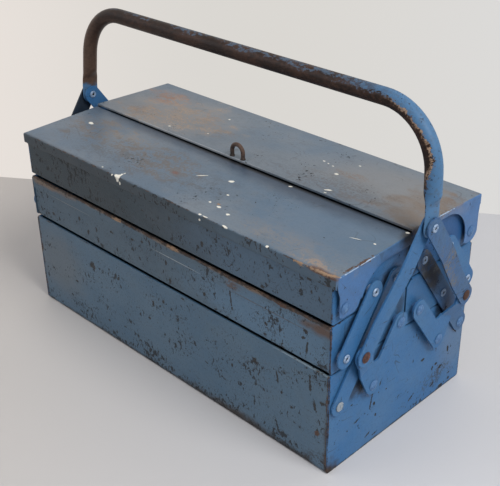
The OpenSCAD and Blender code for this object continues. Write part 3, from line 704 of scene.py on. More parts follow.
FRONT_LID_DROPS = (
    (-184.2, -38.2, 4.4, 2.4, -10), (-58.8, -101.2, 4.6, 3.4, -20), (-66, -102, 1.4, 1.2),
    (-85.7, -98.1, 1.2, 1), (3.2, -46, 6.6, 0.8, 41), (33.6, -36.6, 3.4, 2, 30), (51, -58.1, 1.8, 1.2),
    (48.6, -78.5, 1.6, 1.2), (61.8, -79.8, 2.6, 1.8), (78.1, -84.2, 2, 1.8), (59, -100.5, 2, 1.2),
    (66, -100.6, 3.4, 0.8), (92, -101.2, 4, 1.2, -8), (142.7, -101, 1.8, 1.6), (82.7, -7.6, 2.4, 1.2, 30),
    (189.4, -42.6, 5.6, 0.45, 16), (207.2, -38.9, 1.3, 1), (216, -6, 2.2, 1.6),
)
FRONT_LID_RUST = (
    (203, -101.4, 10, 1.4, 4), (214, -99.6, 5, 1.6, 20), (180, -101.6, 7, 0.7), (57.6, -76.6, 2.2, 1.2),
)
REAR_LID_DROPS = (
    (-108.4, 9.2, 1.8, 1.4), (-78.2, 69, 1.8, 1.4), (-63.9, 23.9, 1.1, 1), (98.2, 40.1, 2.6, 2),
    (69.1, 55.6, 2.2, 1), (76, 54, 1.4, 0.9), (83.3, 52.4, 1.6, 1), (116.8, 6.9, 4.2, 1.5, 28),
    (118.1, 0.5, 2, 1), (101.6, 71.3, 1.4, 1),
)
END_CHIPS = (
    (-29.4, 65, 0.9, 11, -8), (-41.8, 50, 0.9, 10, -10), (-37, 42.6, 1.4, 2.2), (36.6, 52.9, 2.2, 1.2),
    (67.5, 28.6, 3.4, 1.4, 20), (60, 36, 1.8, 1.2), (54, 33, 1.4, 2.2), (83.8, 12.5, 2, 1.2),
    (84.9, 5.1, 1.6, 1.2), (-44.2, 11.3, 3, 0.9, 20), (-34.2, 6.4, 3.6, 0.9, 10), (-61.5, 37.1, 4, 0.9, 16),
    (-34.3, 28.4, 1.4, 1.4), (-56, 74, 3.6, 2.6), (-50, 67, 3, 3.6), (-45, 71, 2, 1.6), (87.3, 63.4, 2, 4, 30),
    (78, 44, 1.2, 2.6), (21, 16.2, 4, 1.2, 30), (56, 13, 4.4, 1.2, 24), (70.5, 3, 6, 1.6, 8),
    (-25, 152, 22, 1.6, 50), (0, 30, 2.4, 0.6, 30), (20, 60, 0.7, 2), (-20, 50, 1, 0.8), (-70, 60, 1.2, 0.8),
)


class Finishes:
    """Every material of the box, built once."""

    def __init__(self) -> None:
        """Build the materials."""
        self.walls()
        self.lids()
        self.ends()
        self.zinc = BareSteel("rivet_zinc", tint(158, 178, 202), tint(78, 104, 138), 0.5, 0.35, 0.42).build()
        self.pale_disc = BareSteel(
            "rivet_pale", tint(150, 158, 164), tint(86, 108, 130), 0.45, 0.1, 0.5, 2).build()
        self.painted_dome = BareSteel(
            "rivet_painted", tint(92, 128, 168), tint(60, 98, 142), 0.8, 0.1, 0.4, 5).build()
        # The near-black bore is painted shade: it stands for the dark inside the eyelets' holes.
        self.bore = BareSteel("rivet_bore", tint(22, 22, 26), tint(36, 32, 30), 0.5, 0, 0.7).build()
        self.rust = Rust("rusted_rivet", tint(62, 42, 38), tint(110, 68, 56), seed=2).build()
        self.dark_rust = Rust("dark_rusted_rivet", tint(46, 32, 28), tint(84, 56, 44), seed=4).build()
        self.wire = Rust("rusted_wire", tint(46, 40, 38), tint(98, 76, 64), seed=6).build()
        self.grip = GripPatina().build()

    def walls(self) -> None:
        """Build the enamels of the three tiers' long walls."""
        self.base = Enamel(
            "base_enamel", tint(68, 98, 121), tint(90, 113, 130), 1, low_chips=1, chip_share=0.85, brown=0.1,
            smudges=smudges(BASE_STAINS),
            edges=sheet_edges(BASE_RIM, WALL_Y) + (
                WornEdge(Axis.WIDTH, WALL_Y, Axis.HEIGHT, 0, 2.6, 0.75),
                WornEdge(Axis.LENGTH, 214.2, Axis.WIDTH, WALL_Y, 2.6, 0.9)),
            marks=marks(Plane.FRONT, Tone.DARK, BASE_CHIPS)
            + marks(Plane.FRONT, Tone.BROWN, [(203, 40, 4, 2, 30)]),
        ).build()
        self.middle = Enamel(
            "middle_tray_enamel", tint(62, 86, 104), tint(82, 101, 115), 7, chip_share=0.9, brown=0.12,
            smudges=smudges(MIDDLE_STAINS),
            edges=sheet_edges(MIDDLE_RIM, WALL_Y, 109.1) + (
                WornEdge(Axis.WIDTH, WALL_Y, Axis.HEIGHT, MIDDLE_RIM, 2.2, 1),),
            marks=marks(Plane.FRONT, Tone.DARK, MIDDLE_CHIPS)
            + marks(Plane.FRONT, Tone.TAN, [(19.3, 155.2, 7, 1.6), (-66, 155, 6, 1.6)])
            + marks(Plane.FRONT, Tone.BROWN, [(159, 154.4, 6, 1.6)]),
        ).build()
        # The top tray's paint is darker than the tiers below, partly painted shade under the lid's overhang.
        self.top = Enamel(
            "top_tray_enamel", tint(50, 68, 82), tint(70, 86, 98), 13, chip_share=1, brown=0.1,
            smudges=smudges(TOP_STAINS), edges=sheet_edges(TOP_RIM, 100.6, 158.6),
            marks=marks(Plane.FRONT, Tone.DARK, TOP_CHIPS),
        ).build()

    def lids(self) -> None:
        """Build the enamels of the two lids."""
        lid = dict(
            paint=tint(84, 103, 121), faded=tint(111, 120, 129), fade=0.85, chip_share=0.2, side_chips=0.16,
            gloss=0.4, dents=1.2,
            # The skirt's dark slate and the end flanges' saturated blue, against the grey top, are partly painted
            # shade and light: one folded sheet gets a paint for each way its faces look.
            zones=(
                Zone(Axis.WIDTH, 101.6, tint(50, 68, 80), 205),
                Zone(Axis.LENGTH, 218.6, tint(60, 104, 154))))

        def skirt(fold: float, rim: float) -> tuple[WornEdge, ...]:
            """Wear the fold and the lower rim of a skirt."""
            return (WornEdge(Axis.WIDTH, SKIRT_Y, Axis.HEIGHT, fold, 1.1, 0.7),
                    WornEdge(Axis.WIDTH, SKIRT_Y, Axis.HEIGHT, rim, 0.8, 0.5))

        def brim(long: float, wide: float, turn: float, *places: float) -> tuple[Mark, ...]:
            """Paint a pale highlight along the upper edge of an end flange."""
            return marks(Plane.BRIM, Tone.PALE, [(y, lid_height(y) - 0.9, long, wide, turn) for y in places])

        self.front_lid = Enamel(
            "front_lid_enamel", **lid, seed=19, brown=0.35, edges=skirt(205.5, 195),
            smudges=smudges(FRONT_LID_STAINS),
            marks=marks(Plane.TOP, Tone.CREAM, FRONT_LID_DROPS)
            + marks(Plane.FRONT, Tone.CREAM, [
                (-57.6, 203.4, 2.6, 4), (-54, 199.6, 1.4, 2.2), (60, 201, 1.2, 1.4)])
            + marks(Plane.TOP, Tone.TAN, FRONT_LID_RUST)
            + marks(Plane.TOP, Tone.BROWN, [(218.6, -68, 1.8, 10), (217, -84, 1.4, 5)])
            + brim(12, 0.4, 1.5, -82, -64),
        ).build()
        self.rear_lid = Enamel(
            "rear_lid_enamel", **lid, seed=27, brown=0.45, edges=skirt(207.3, 196.8),
            smudges=smudges(REAR_LID_STAINS),
            marks=marks(Plane.TOP, Tone.CREAM, REAR_LID_DROPS) + brim(11, 0.34, -2, 28, 46),
        ).build()

    def ends(self) -> None:
        """Build the enamels of the end plates and links."""
        blue = dict(paint=tint(52, 102, 150), faded=tint(78, 116, 152), shine=0.25)
        self.end = Enamel(
            "end_plate_enamel", **blue, seed=33, chip_share=0.12, low_chips=0.5, brown=0.06, scratches=0.5,
            smudges=smudges(END_STAINS), marks=marks(Plane.END, Tone.DARK, END_CHIPS),
            edges=(
                WornEdge(Axis.LENGTH, PLATE_X, Axis.HEIGHT, 0, 1.8, 0.6),
                WornEdge(Axis.LENGTH, PLATE_X, Axis.WIDTH, WALL_Y, 1.5, 0.7),
                WornEdge(Axis.LENGTH, 213, Axis.HEIGHT, MIDDLE_RIM, 1.6, 0.5),
                WornEdge(Axis.LENGTH, 213, Axis.HEIGHT, BASE_RIM, 1.4, 0.5)),
        ).build()
        self.link = Enamel(
            "link_enamel", **blue, seed=41, dents=0.3, chip_share=0.2, brown=0.35, scratches=0.6,
            gloss=0.44).build()
        self.dark_link = Enamel(
            "worn_link_enamel", tint(54, 92, 136), tint(86, 108, 128), 47, dents=0.3, shine=0.25,
            chip_share=0.5, brown=0.9, scratches=1, gloss=0.48, smudges=smudges(WORN_LINK_STAINS)).build()
        # A dark paint for the front left handle link: painted shade.
        self.shaded_link = Enamel(
            "grimy_link_enamel", tint(34, 44, 56), tint(56, 66, 78), 53, dents=0.3, shine=0.25, chip_share=0.4,
            brown=0.9, gloss=0.5).build()


# ---- modelling


class Bench:
    """Small steps of modelling with Blender's operators."""

    @staticmethod
    def clear() -> None:
        """Deselect everything and leave edit mode."""
        if bpy.context.object and bpy.context.object.mode != "OBJECT":
            bpy.ops.object.mode_set(mode="OBJECT")
        bpy.ops.object.select_all(action="DESELECT")

    @classmethod
    def take(cls, piece: bpy.types.Object) -> None:
        """Select one object alone and make it active."""
        cls.clear()
        piece.select_set(True)
        bpy.context.view_layer.objects.active = piece

    @staticmethod
    @contextmanager
    def editing() -> Iterator[None]:
        """Edit the active object with everything selected, then come back to object mode.

        Returns:
            The context to work in.
        """
        bpy.ops.object.mode_set(mode="EDIT")
        bpy.ops.mesh.select_all(action="SELECT")
        yield
        bpy.ops.object.mode_set(mode="OBJECT")

    @classmethod
    def copy_node(cls, node: str, name: str, split: bool = False) -> bpy.types.Object:
        """Copy a CAD node into a new object with merged points and whole faces.

        Args:
            node: Name of the CAD node.
            name: Name of the new piece.
            split: Whether faces with holes in them are split into plain ones.

        Returns:
            The new object.
        """
        piece = bpy.data.objects.new(name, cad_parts[node].data.copy())
        bpy.context.scene.collection.objects.link(piece)
        piece.data.materials.clear()
        cls.take(piece)
        bpy.ops.mesh.customdata_custom_splitnormals_clear()
        with cls.editing():
            bpy.ops.mesh.remove_doubles(threshold=SAME_POINT)
            bpy.ops.mesh.dissolve_limited(angle_limit=math.radians(0.4))
            if split:
                bpy.ops.mesh.vert_connect_concave()
        return piece

    @classmethod
    def round_edges(
        cls, piece: bpy.types.Object, test: Callable[[Vector, Vector], bool], width: float = 1.5, steps: int = 4
    ) -> None:
        """Bevel the edges that a test picks.

        Args:
            piece: The object.
            test: Called with an edge's two ends in millimetres.
            width: Width of the bevel in millimetres.
            steps: Number of segments.
        """
        cls.take(piece)
        with cls.editing():
            bpy.ops.mesh.select_mode(type="EDGE")
            bpy.ops.mesh.select_all(action="DESELECT")
        points = [v.co / MM for v in piece.data.vertices]
        for edge in piece.data.edges:
            edge.select = test(*(points[i] for i in edge.vertices))
        bpy.ops.object.mode_set(mode="EDIT")
        bpy.ops.mesh.bevel(offset=width * MM, segments=steps, affect="EDGES", clamp_overlap=True)
        bpy.ops.object.mode_set(mode="OBJECT")

    @classmethod
    def modify(cls, piece: bpy.types.Object, kind: str, **settings: Any) -> None:
        """Add one modifier and apply it.

        Args:
            piece: The object.
            kind: Blender's name of the modifier.
            settings: Its properties.
        """
        cls.take(piece)
        made = piece.modifiers.new(kind.lower(), kind)
        for key, value in settings.items():
            setattr(made, key, value)
        bpy.ops.object.modifier_apply(modifier=made.name)

    @classmethod
    def soften(cls, piece: bpy.types.Object, width: float) -> None:
        """Take the sharpness off every hard edge and shade the piece smooth.

        Args:
            piece: The object.
            width: Width of the softened edges in millimetres.
        """
        cls.modify(
            piece, "BEVEL", width=width * MM, segments=2, limit_method="ANGLE",
            angle_limit=math.radians(32), use_clamp_overlap=True, miter_outer="MITER_ARC")
        cls.shade(piece)

    @classmethod
    def shade(cls, piece: bpy.types.Object, angle: float = 38.0) -> None:
        """Shade a piece smooth up to an angle, with its flat faces kept flat."""
        cls.take(piece)
        bpy.ops.object.shade_smooth_by_angle(angle=math.radians(angle))
        cls.modify(piece, "WEIGHTED_NORMAL", weight=90, keep_sharp=True)

    @staticmethod
    def draw(rings: Sequence[tuple[float, float]], x: float = 0.0, y: float = 0.0) -> None:
        """Draw the selected ring along Z.

        Args:
            rings: (radius, height) of each ring in millimetres, the first one being there already.
            x: Place of the centre line along X.
            y: Place of the centre line along Y.
        """
        for (r0, z0), (r1, z1) in zip(rings, rings[1:]):
            bpy.ops.mesh.extrude_region_move(TRANSFORM_OT_translate={"value": (0, 0, (z1 - z0) * MM)})
            bpy.ops.transform.resize(value=(r1 / r0, r1 / r0, 1), center_override=(x * MM, y * MM, z1 * MM))

    @classmethod
    def turned(cls, name: str, profile: Sequence[tuple[float, float]]) -> bpy.types.Object:
        """Turn a closed solid about the X axis.

        Args:
            name: Name of the object.
            profile: (radius, distance along X) of each point in millimetres.

        Returns:
            The solid, pointing along +X.
        """
        cls.clear()
        radius, start = profile[0]
        bpy.ops.mesh.primitive_circle_add(
            vertices=28, radius=radius * MM, fill_type="NGON", location=(0, 0, start * MM))
        piece = bpy.context.object
        piece.name = name
        bpy.ops.object.transform_apply(location=True)
        with cls.editing():
            cls.draw(profile)
            bpy.ops.mesh.select_all(action="SELECT")
            bpy.ops.mesh.normals_make_consistent(inside=False)
        piece.data.transform(Matrix.Rotation(math.pi / 2, 4, "Y"))
        return piece

    @classmethod
    def join(cls, name: str, pieces: Sequence[bpy.types.Object]) -> bpy.types.Object:
        """Join several objects into one.

        Args:
            name: Name of the result.
            pieces: The objects.

        Returns:
            The one object.
        """
        cls.clear()
        for piece in pieces:
            piece.select_set(True)
        bpy.context.view_layer.objects.active = pieces[0]
        bpy.ops.object.join()
        joined = bpy.context.object
        joined.name = name
        joined.data.name = name
        return joined

    @staticmethod
    def coat(piece: bpy.types.Object, *materials: bpy.types.Material) -> None:
        """Give a piece its materials, in the order of its material numbers."""
        piece.data.materials.clear()
        for material in materials:
            piece.data.materials.append(material)

    @staticmethod
    def hand_over(piece: bpy.types.Object, body: str, slot: str, node: str) -> None:
        """Fix a finished piece to its body and report it.

        Args:
            piece: The object.
            body: Body that it rides on.
            slot: Not used.
            node: CAD node that it stands for.
        """
        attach(piece, body)
        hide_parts(node)
        log.info("%s rides on %s: %d faces", piece.name, body, len(piece.data.polygons))

    @classmethod
    def dress(
        cls, node: str, ending: str, edge: float, finish: bpy.types.Material, body: str, slot: str,
        split: bool = False, fold: Callable[[Vector, Vector], bool] | None = None,
    ) -> None:
        """Make the visual piece of a folded or stamped CAD node.

        Args:
            node: Name of the CAD node.
            ending: Ending of the new piece's name.
            edge: Width of the softened edges in millimetres.
            finish: Its material.
            body: Body that it rides on.
            slot: Name of a material slot; passed on to hand_over, which does not use it.
            split: Whether faces with holes in them are split into plain ones.
            fold: Test for the edges that are folds with a wider bend, or None.
        """
        piece = cls.copy_node(node, f"{node}_{ending}", split)
        if fold:
            cls.round_edges(piece, fold)
        cls.soften(piece, edge)
        cls.coat(piece, finish)
        cls.hand_over(piece, body, slot, node)


class Half(Enum):
    """Either half of the box, with the sign of its coordinate."""

    @property
    def word(self) -> str:
        """Name of the half as it stands in the nodes' names."""
        return self.name.lower()


class Side(Half):
    """Long side of the box, with the sign of its y."""

    FRONT = -1
    REAR = 1


class End(Half):
    """End of the box, with the sign of its x."""

    LEFT = -1
    RIGHT = 1


@dataclass
class Carcass:
    """Base and trays: folded troughs and their end plates."""

    finishes: Finishes
    edge: float = 0.35

    def build(self) -> None:
        """Make every trough with its end plates."""
        self.tier("base", self.finishes.base)
        for side in Side:
            for tier, finish in (("mid", self.finishes.middle), ("top", self.finishes.top)):
                self.tier(f"{side.word}_{tier}_tray", finish)

    def tier(self, body: str, finish: bpy.types.Material) -> None:
        """Make one folded trough with its two end plates.

        Args:
            body: Body that they ride on.
            finish: The trough's material.
        """
        Bench.dress(f"{body}_wrap", "folded", self.edge, finish, body, "base_paint")
        for end in End:
            Bench.dress(
                f"{body}_end_{end.word}", "pressed", self.edge, self.finishes.end, body, "end_paint",
                split=True)


@dataclass
class Lids:
    """The two folded lids."""

    finishes: Finishes
    edge: float = 0.3
    near_top: float = 0.4
    near_side: float = 0.05
    long_skirt: float = 50.0
    long_end: float = 20.0

    def build(self) -> None:
        """Make both lids."""
        for node, finish in (("front_lid", self.finishes.front_lid), ("rear_lid", self.finishes.rear_lid)):
            Bench.dress(node, "folded", self.edge, finish, node, "lid_paint", fold=self.is_fold)

    def is_fold(self, a: Vector, b: Vector) -> bool:
        """Tell whether an edge is the outer fold along the skirt or the upper edge of an end.

        Args:
            a: One end of the edge in millimetres.
            b: Its other end.

        Returns:
            Whether it is one of the folds.
        """
        if any(abs(p.z - lid_height(p.y)) > self.near_top for p in (a, b)):
            return False
        along_skirt = all(abs(abs(p.y) - SKIRT_Y) < self.near_side for p in (a, b))
        along_end = all(abs(abs(p.x) - FLANGE_X) < self.near_side for p in (a, b))
        skirt_fold = along_skirt and abs(a.x - b.x) > self.long_skirt
        return skirt_fold or (along_end and abs(a.y - b.y) > self.long_end)


@dataclass
class LinkWork:
    """Strip links, cranks and handle links."""

    finishes: Finishes
    edge: float = 0.45

    def build(self) -> None:
        """Make every link."""
        for side in Side:
            for kind in ("long_link", "short_link", "crank", "handle_link"):
                for end in End:
                    Bench.dress(
                        f"{side.word}_{kind}_{end.word}", "stamped", self.edge, self.finish(kind, side, end),
                        f"{side.word}_{kind}s", "link_paint")

    def finish(self, kind: str, side: Side, end: End) -> bpy.types.Material:
        """Choose a link's paint.

        Args:
            kind: Sort of link.
            side: Long side of the box that it is on.
            end: End of the box that it is on.

        Returns:
            Its material.
        """
        # The front left handle link gets the dark paint: painted shade.
        if kind == "handle_link" and end is End.LEFT:
            return self.finishes.shaded_link if side is Side.FRONT else self.finishes.link
        if side is Side.REAR and kind in ("long_link", "handle_link"):
            return self.finishes.dark_link
        return self.finishes.link


class Head(Enum):
    """Form of a rivet's outer head."""

    EYELET = "eyelet"
    DOME = "dome"
    DISC = "disc"
    INWARD = "inward"


@dataclass(frozen=True)
class RivetPlan:
    """One sort of rivet: its centre on the rear right, its layers and its head, in millimetres."""

    y: float
    z: float
    layers: tuple[tuple[float, float], ...]
    out: float
    head: Head
    finish: str


@dataclass
class Rivets:
    """Every rivet, turned to its own length."""

    finishes: Finishes
    shank: float = 3.0
    flat_head: float = 4.0
    flat_height: float = 1.2
    dome: float = 5.3
    dome_height: float = 1.7
    disc: float = 4.6
    disc_height: float = 0.9
    eye: float = 1.3
    crank_y: float = 70.5
    crank_z: float = 118.3
    masters: dict[RivetPlan, bpy.types.Object] = field(default_factory=dict)

    def plate_rivet(self, y: float, z: float, off: float, thick: float, head: Head, finish: str) -> RivetPlan:
        """Plan a rivet that is fixed in an end plate and carries one link.

        Args:
            y: Distance of its centre from the middle.
            z: Height of its centre.
            off: Stand-off of the link from the plate.
            thick: Thickness of the link.
            head: Form of its head.
            finish: Name of its finish.

        Returns:
            The plan.
        """
        out = off + thick + 0.25
        layers = (
            (4.1, -2.4), (4.5, -2.1), (4.5, -1.2), (self.shank, -1.2), (self.shank, 0.0), (4.7, 0.0),
            (5.0, 0.15), (5.0, off - 0.35), (4.9, off - 0.25), (self.shank, off - 0.25), (self.shank, out))
        return RivetPlan(y, z, layers, out, head, finish)

    def crank_rivet(self, lobe: float, link: float, finish: str) -> RivetPlan:
        """Plan a rusty rivet that joins a crank's bent arm and a handle link."""
        out = link + 2.25
        layers = ((4.1, lobe - 1.2), (4.5, lobe - 0.9), (4.5, lobe), (self.shank, lobe), (self.shank, out))
        return RivetPlan(self.crank_y, self.crank_z, layers, out, Head.DOME, finish)

    def inner_eyelet(self, back: float, out: float) -> RivetPlan:
        """Plan the eyelet of an inner handle link; its rolled head faces the box and its far end is flush.

        Args:
            back: Stand-off of the rolled head.
            out: Stand-off of the flush end.

        Returns:
            The plan.
        """
        r, eye = self.flat_head, self.eye
        layers = (
            (0.3, back + 0.85), (eye * 0.9, back + 0.8), (eye, back + 0.6), (eye + 0.25, back + 0.2),
            (r * 0.62, back), (r * 0.82, back), (r * 0.96, back + 0.45), (r, back + 0.9),
            (r * 0.96, back + 1.2), (self.shank, back + 1.2), (self.shank, out))
        return RivetPlan(0.0, PIVOT_Z, layers, out, Head.INWARD, "zinc")

    def head_profile(self, head: Head, out: float) -> list[tuple[float, float]]:
        """Return the profile of a head from its underside to its crown.

        Args:
            head: Form of the head.
            out: Stand-off of its underside.

        Returns:
            (radius, distance) of each point.
        """
        if head is Head.INWARD:
            return []
        if head is Head.DISC:
            r, h = self.disc, self.disc_height
            return [(r * 0.96, out), (r, out + 0.25), (r, out + 0.6), (r * 0.9, out + h), (0.5, out + h)]
        if head is Head.DOME:
            r, h = self.dome, self.dome_height
            ball = (r * r + h * h) / (2 * h)
            radii = [r * share for share in (0.86, 0.68, 0.48, 0.26, 0.08)]
            return [(r * 0.97, out), (r, out + 0.25)] + [
                (radius, out + math.sqrt(ball**2 - radius**2) - ball + h) for radius in radii]
        r, h = self.flat_head, self.flat_height
        return [
            (r * 0.96, out), (r, out + 0.3), (r * 0.96, out + 0.75), (r * 0.82, out + h), (r * 0.62, out + h),
            (self.eye + 0.25, out + h * 0.82), (self.eye, out + h * 0.5), (self.eye * 0.9, out + 0.4),
            (0.3, out + 0.35)]

    def master(self, plan: RivetPlan) -> bpy.types.Object:
        """Return the turned rivet for a plan, made the first time it is asked for.

        Args:
            plan: The sort of rivet.

        Returns:
            The rivet, pointing along +X from the origin.
        """
        if plan not in self.masters:
            profile = [*plan.layers, *self.head_profile(plan.head, plan.out)]
            piece = Bench.turned(f"rivet_master_{len(self.masters)}", profile)
            coat = {
                "zinc": self.finishes.zinc, "paint": self.finishes.painted_dome,
                "disc": self.finishes.pale_disc, "rust": self.finishes.rust, "dark_rust": self.finishes.dark_rust}
            Bench.coat(piece, coat[plan.finish], self.finishes.bore)
            # The faces inside an eyelet's eye take the near-black bore, painted shade of its hole.
            if plan.head in (Head.EYELET, Head.INWARD):
                for face in piece.data.polygons:
                    middle = face.center
                    inside = math.hypot(middle.y, middle.z) < (self.eye + 0.05) * MM
                    outer = middle.x > plan.out * MM
                    inner = middle.x < (plan.out - 1) * MM
                    at_head = outer if plan.head is Head.EYELET else inner
                    face.material_index = int(inside and at_head)
            Bench.shade(piece, 34.0)
            self.masters[plan] = piece
        return self.masters[plan]

    def set_in(self, node: str, body: str, slot: str, where: Sequence[tuple[RivetPlan, End, Side]]) -> None:
        """Copy rivets to their places and join them into one piece.

        Args:
            node: CAD node that the piece stands for.
            body: Body that it rides on.
            slot: Name of a material slot; passed on to hand_over, which does not use it.
            where: Plan, end and side of each rivet.
        """
        copies = []
        for plan, end, side in where:
            made = self.master(plan).copy()
            made.data = made.data.copy()
            bpy.context.scene.collection.objects.link(made)
            if end is End.LEFT:
                made.data.transform(Matrix.Rotation(math.pi, 4, "Z"))
            place = (end.value * PLATE_X * MM, side.value * plan.y * MM, plan.z * MM)
            made.data.transform(Matrix.Translation(place))
            copies.append(made)
        Bench.hand_over(Bench.join(f"{node.replace('link_', '')}_set", copies), body, slot, node)

    def build(self) -> None:
        """Make the rivets of every body and remove the masters."""
        plan = self.plate_rivet
        low = {
            Side.FRONT: plan(90.5, 71.8, 0.7, 2.0, Head.DISC, "disc"),
            Side.REAR: plan(90.5, 71.8, 0.7, 2.0, Head.DOME, "paint")}
        crank_low = plan(49.0, 74.0, 4.6, 2.0, Head.DOME, "paint")
        self.set_in("base_rivets", "base", "rivet_steel", [
            (sort, end, side) for end in End for side in Side for sort in (low[side], crank_low)])
        trays = {
            "mid": (
                plan(55.5, 121.3, 0.7, 2.0, Head.EYELET, "zinc"),
                plan(89.0, 123.5, 4.6, 2.0, Head.EYELET, "zinc"),
                plan(14.0, 123.5, 4.6, 2.0, Head.DOME, "paint")),
            "top": (
                plan(20.5, 170.8, 0.7, 2.0, Head.EYELET, "zinc"),
                plan(54.0, 173.0, 4.6, 2.0, Head.EYELET, "zinc"),
                plan(90.0, 173.0, 3.2, 1.0, Head.DOME, "paint"))}
        tail = self.inner_eyelet(13.6, 16.8)
        eye = RivetPlan(0.0, PIVOT_Z, ((2.9, 22.0), (3.0, 22.1), (3.0, 24.0)), 24.0, Head.EYELET, "zinc")
        for side in Side:
            for tier, plans in trays.items():
                body = f"{side.word}_{tier}_tray"
                self.set_in(f"{body}_rivets", body, "rivet_steel", [
                    (sort, end, side) for end in End for sort in plans])
            rust = "rust" if side is Side.FRONT else "dark_rust"
            crank = (self.crank_rivet(8.95, 11.2, rust), self.crank_rivet(14.15, 16.4, rust))
            for node, body, slot, (inner, outer) in (
                ("crank_rivets", "cranks", "rusty_steel", crank),
                ("handle_link_eyelets", "handle_links", "rivet_steel", (tail, eye)),
            ):
                self.set_in(f"{side.word}_{node}", f"{side.word}_{body}", slot, [
                    (inner if end.value * side.value < 0 else outer, end, side) for end in End])
        for master in self.masters.values():
            bpy.data.objects.remove(master)


@dataclass
class TubeHandle:
    """The bent tube with its leaning legs, crimped and flattened ends."""

    finishes: Finishes
    leg_x: float = 234.4
    kink_z: float = 229.3
    bend_x: float = 175.89
    bend_z: float = 261.3
    bend: float = 55.5
    leg_lean: float = 5.0
    handle_lean: float = 3.3
    tube: float = 7.75
    flat_half: float = 10.0
    flat_thick: float = 4.4
    flat_run: float = 7.0
    crimp_run: float = 19.0
    sides: int = 32
    grip_steps: int = 6
    bend_steps: int = 16
    crimp_steps: int = 8
    pin_edge: float = 0.2

    def build(self) -> None:
        """Make one half of the handle, mirror it and hand it over with its pins."""
        piece = self.half()
        Bench.modify(piece, "MIRROR", use_axis=(True, False, False), merge_threshold=1e-5)
        Bench.take(piece)
        with Bench.editing():
            bpy.ops.mesh.remove_doubles(threshold=SAME_POINT)
            bpy.ops.mesh.normals_make_consistent(inside=False)
        pivot = Matrix.Translation((0, 0, PIVOT_Z * MM))
        lean = Matrix.Rotation(math.radians(-self.handle_lean), 4, "X")
        piece.data.transform(pivot @ lean @ pivot.inverted())
        Bench.shade(piece, ROUND_ANGLE)
        Bench.coat(piece, self.finishes.grip)
        Bench.hand_over(piece, "handle", "handle_paint", "handle")
        Bench.dress("handle_pins", "turned", self.pin_edge, self.finishes.zinc, "handle_pins", "rivet_steel")

    def stations(self) -> list[tuple[float, float, float, float]]:
        """Lay out the level rings of a leg from the end of the bend down to its rounded end.

        Returns:
            (x of the centre, height, half width along y, half thickness along x) of each ring in millimetres.
        """
        slope = math.tan(math.radians(self.leg_lean))
        straight = math.cos(math.radians(self.leg_lean))
        flat = self.flat_thick / 2
        rings = [(self.kink_z + self.crimp_run * straight, self.tube, self.tube)]
        for step in range(1, self.crimp_steps + 1):
            share = step / self.crimp_steps
            ease = share * share * (3 - 2 * share)
            rings.append((
                self.kink_z + (self.crimp_run + (self.flat_run - self.crimp_run) * share) * straight,
                self.tube + (self.flat_half - self.tube) * ease, self.tube + (flat - self.tube) * ease))
        rings += [(self.kink_z, self.flat_half, flat), (PIVOT_Z, self.flat_half, flat)]
        for turn in (math.radians(degrees) for degrees in (18, 36, 52, 66, 78, 86)):
            rings.append((PIVOT_Z - self.flat_half * math.sin(turn), self.flat_half * math.cos(turn), flat))
        return [(self.leg_x - max(z - self.kink_z, 0.0) * slope, z, y, x) for z, y, x in rings]

    def half(self) -> bpy.types.Object:
        """Draw the tube from the middle of the grip round the bend and down to the rounded end.

        Returns:
            The open half tube.
        """
        Bench.clear()
        bpy.ops.mesh.primitive_circle_add(
            vertices=self.sides, radius=self.tube * MM, fill_type="NOTHING",
            location=(0, 0, (self.bend_z + self.bend) * MM), rotation=(0, math.pi / 2, 0))
        piece = bpy.context.object
        piece.name = piece.data.name = "handle_tube"
        bpy.ops.object.transform_apply(location=True, rotation=True)
        lean = math.radians(self.leg_lean)
        with Bench.editing():
            for _ in range(self.grip_steps):
                bpy.ops.mesh.extrude_region_move(
                    TRANSFORM_OT_translate={"value": (self.bend_x / self.grip_steps * MM, 0, 0)})
            bpy.ops.mesh.spin(
                steps=self.bend_steps, angle=lean - math.pi / 2,
                center=(self.bend_x * MM, 0, self.bend_z * MM), axis=(0, 1, 0))
            centre = (self.bend_x + self.bend * math.cos(lean), self.bend_z + self.bend * math.sin(lean))
            half_y, half_x = self.tube, self.tube * math.cos(lean)
            for x, z, wide, thick in self.stations():
                bpy.ops.mesh.extrude_region_move(
                    TRANSFORM_OT_translate={"value": ((x - centre[0]) * MM, 0, (z - centre[1]) * MM)})
                bpy.ops.transform.resize(
                    value=(thick / half_x, wide / half_y, 0), center_override=(x * MM, 0, z * MM))
                centre, half_y, half_x = (x, z), wide, thick
            bpy.ops.mesh.edge_face_add()
        return piece


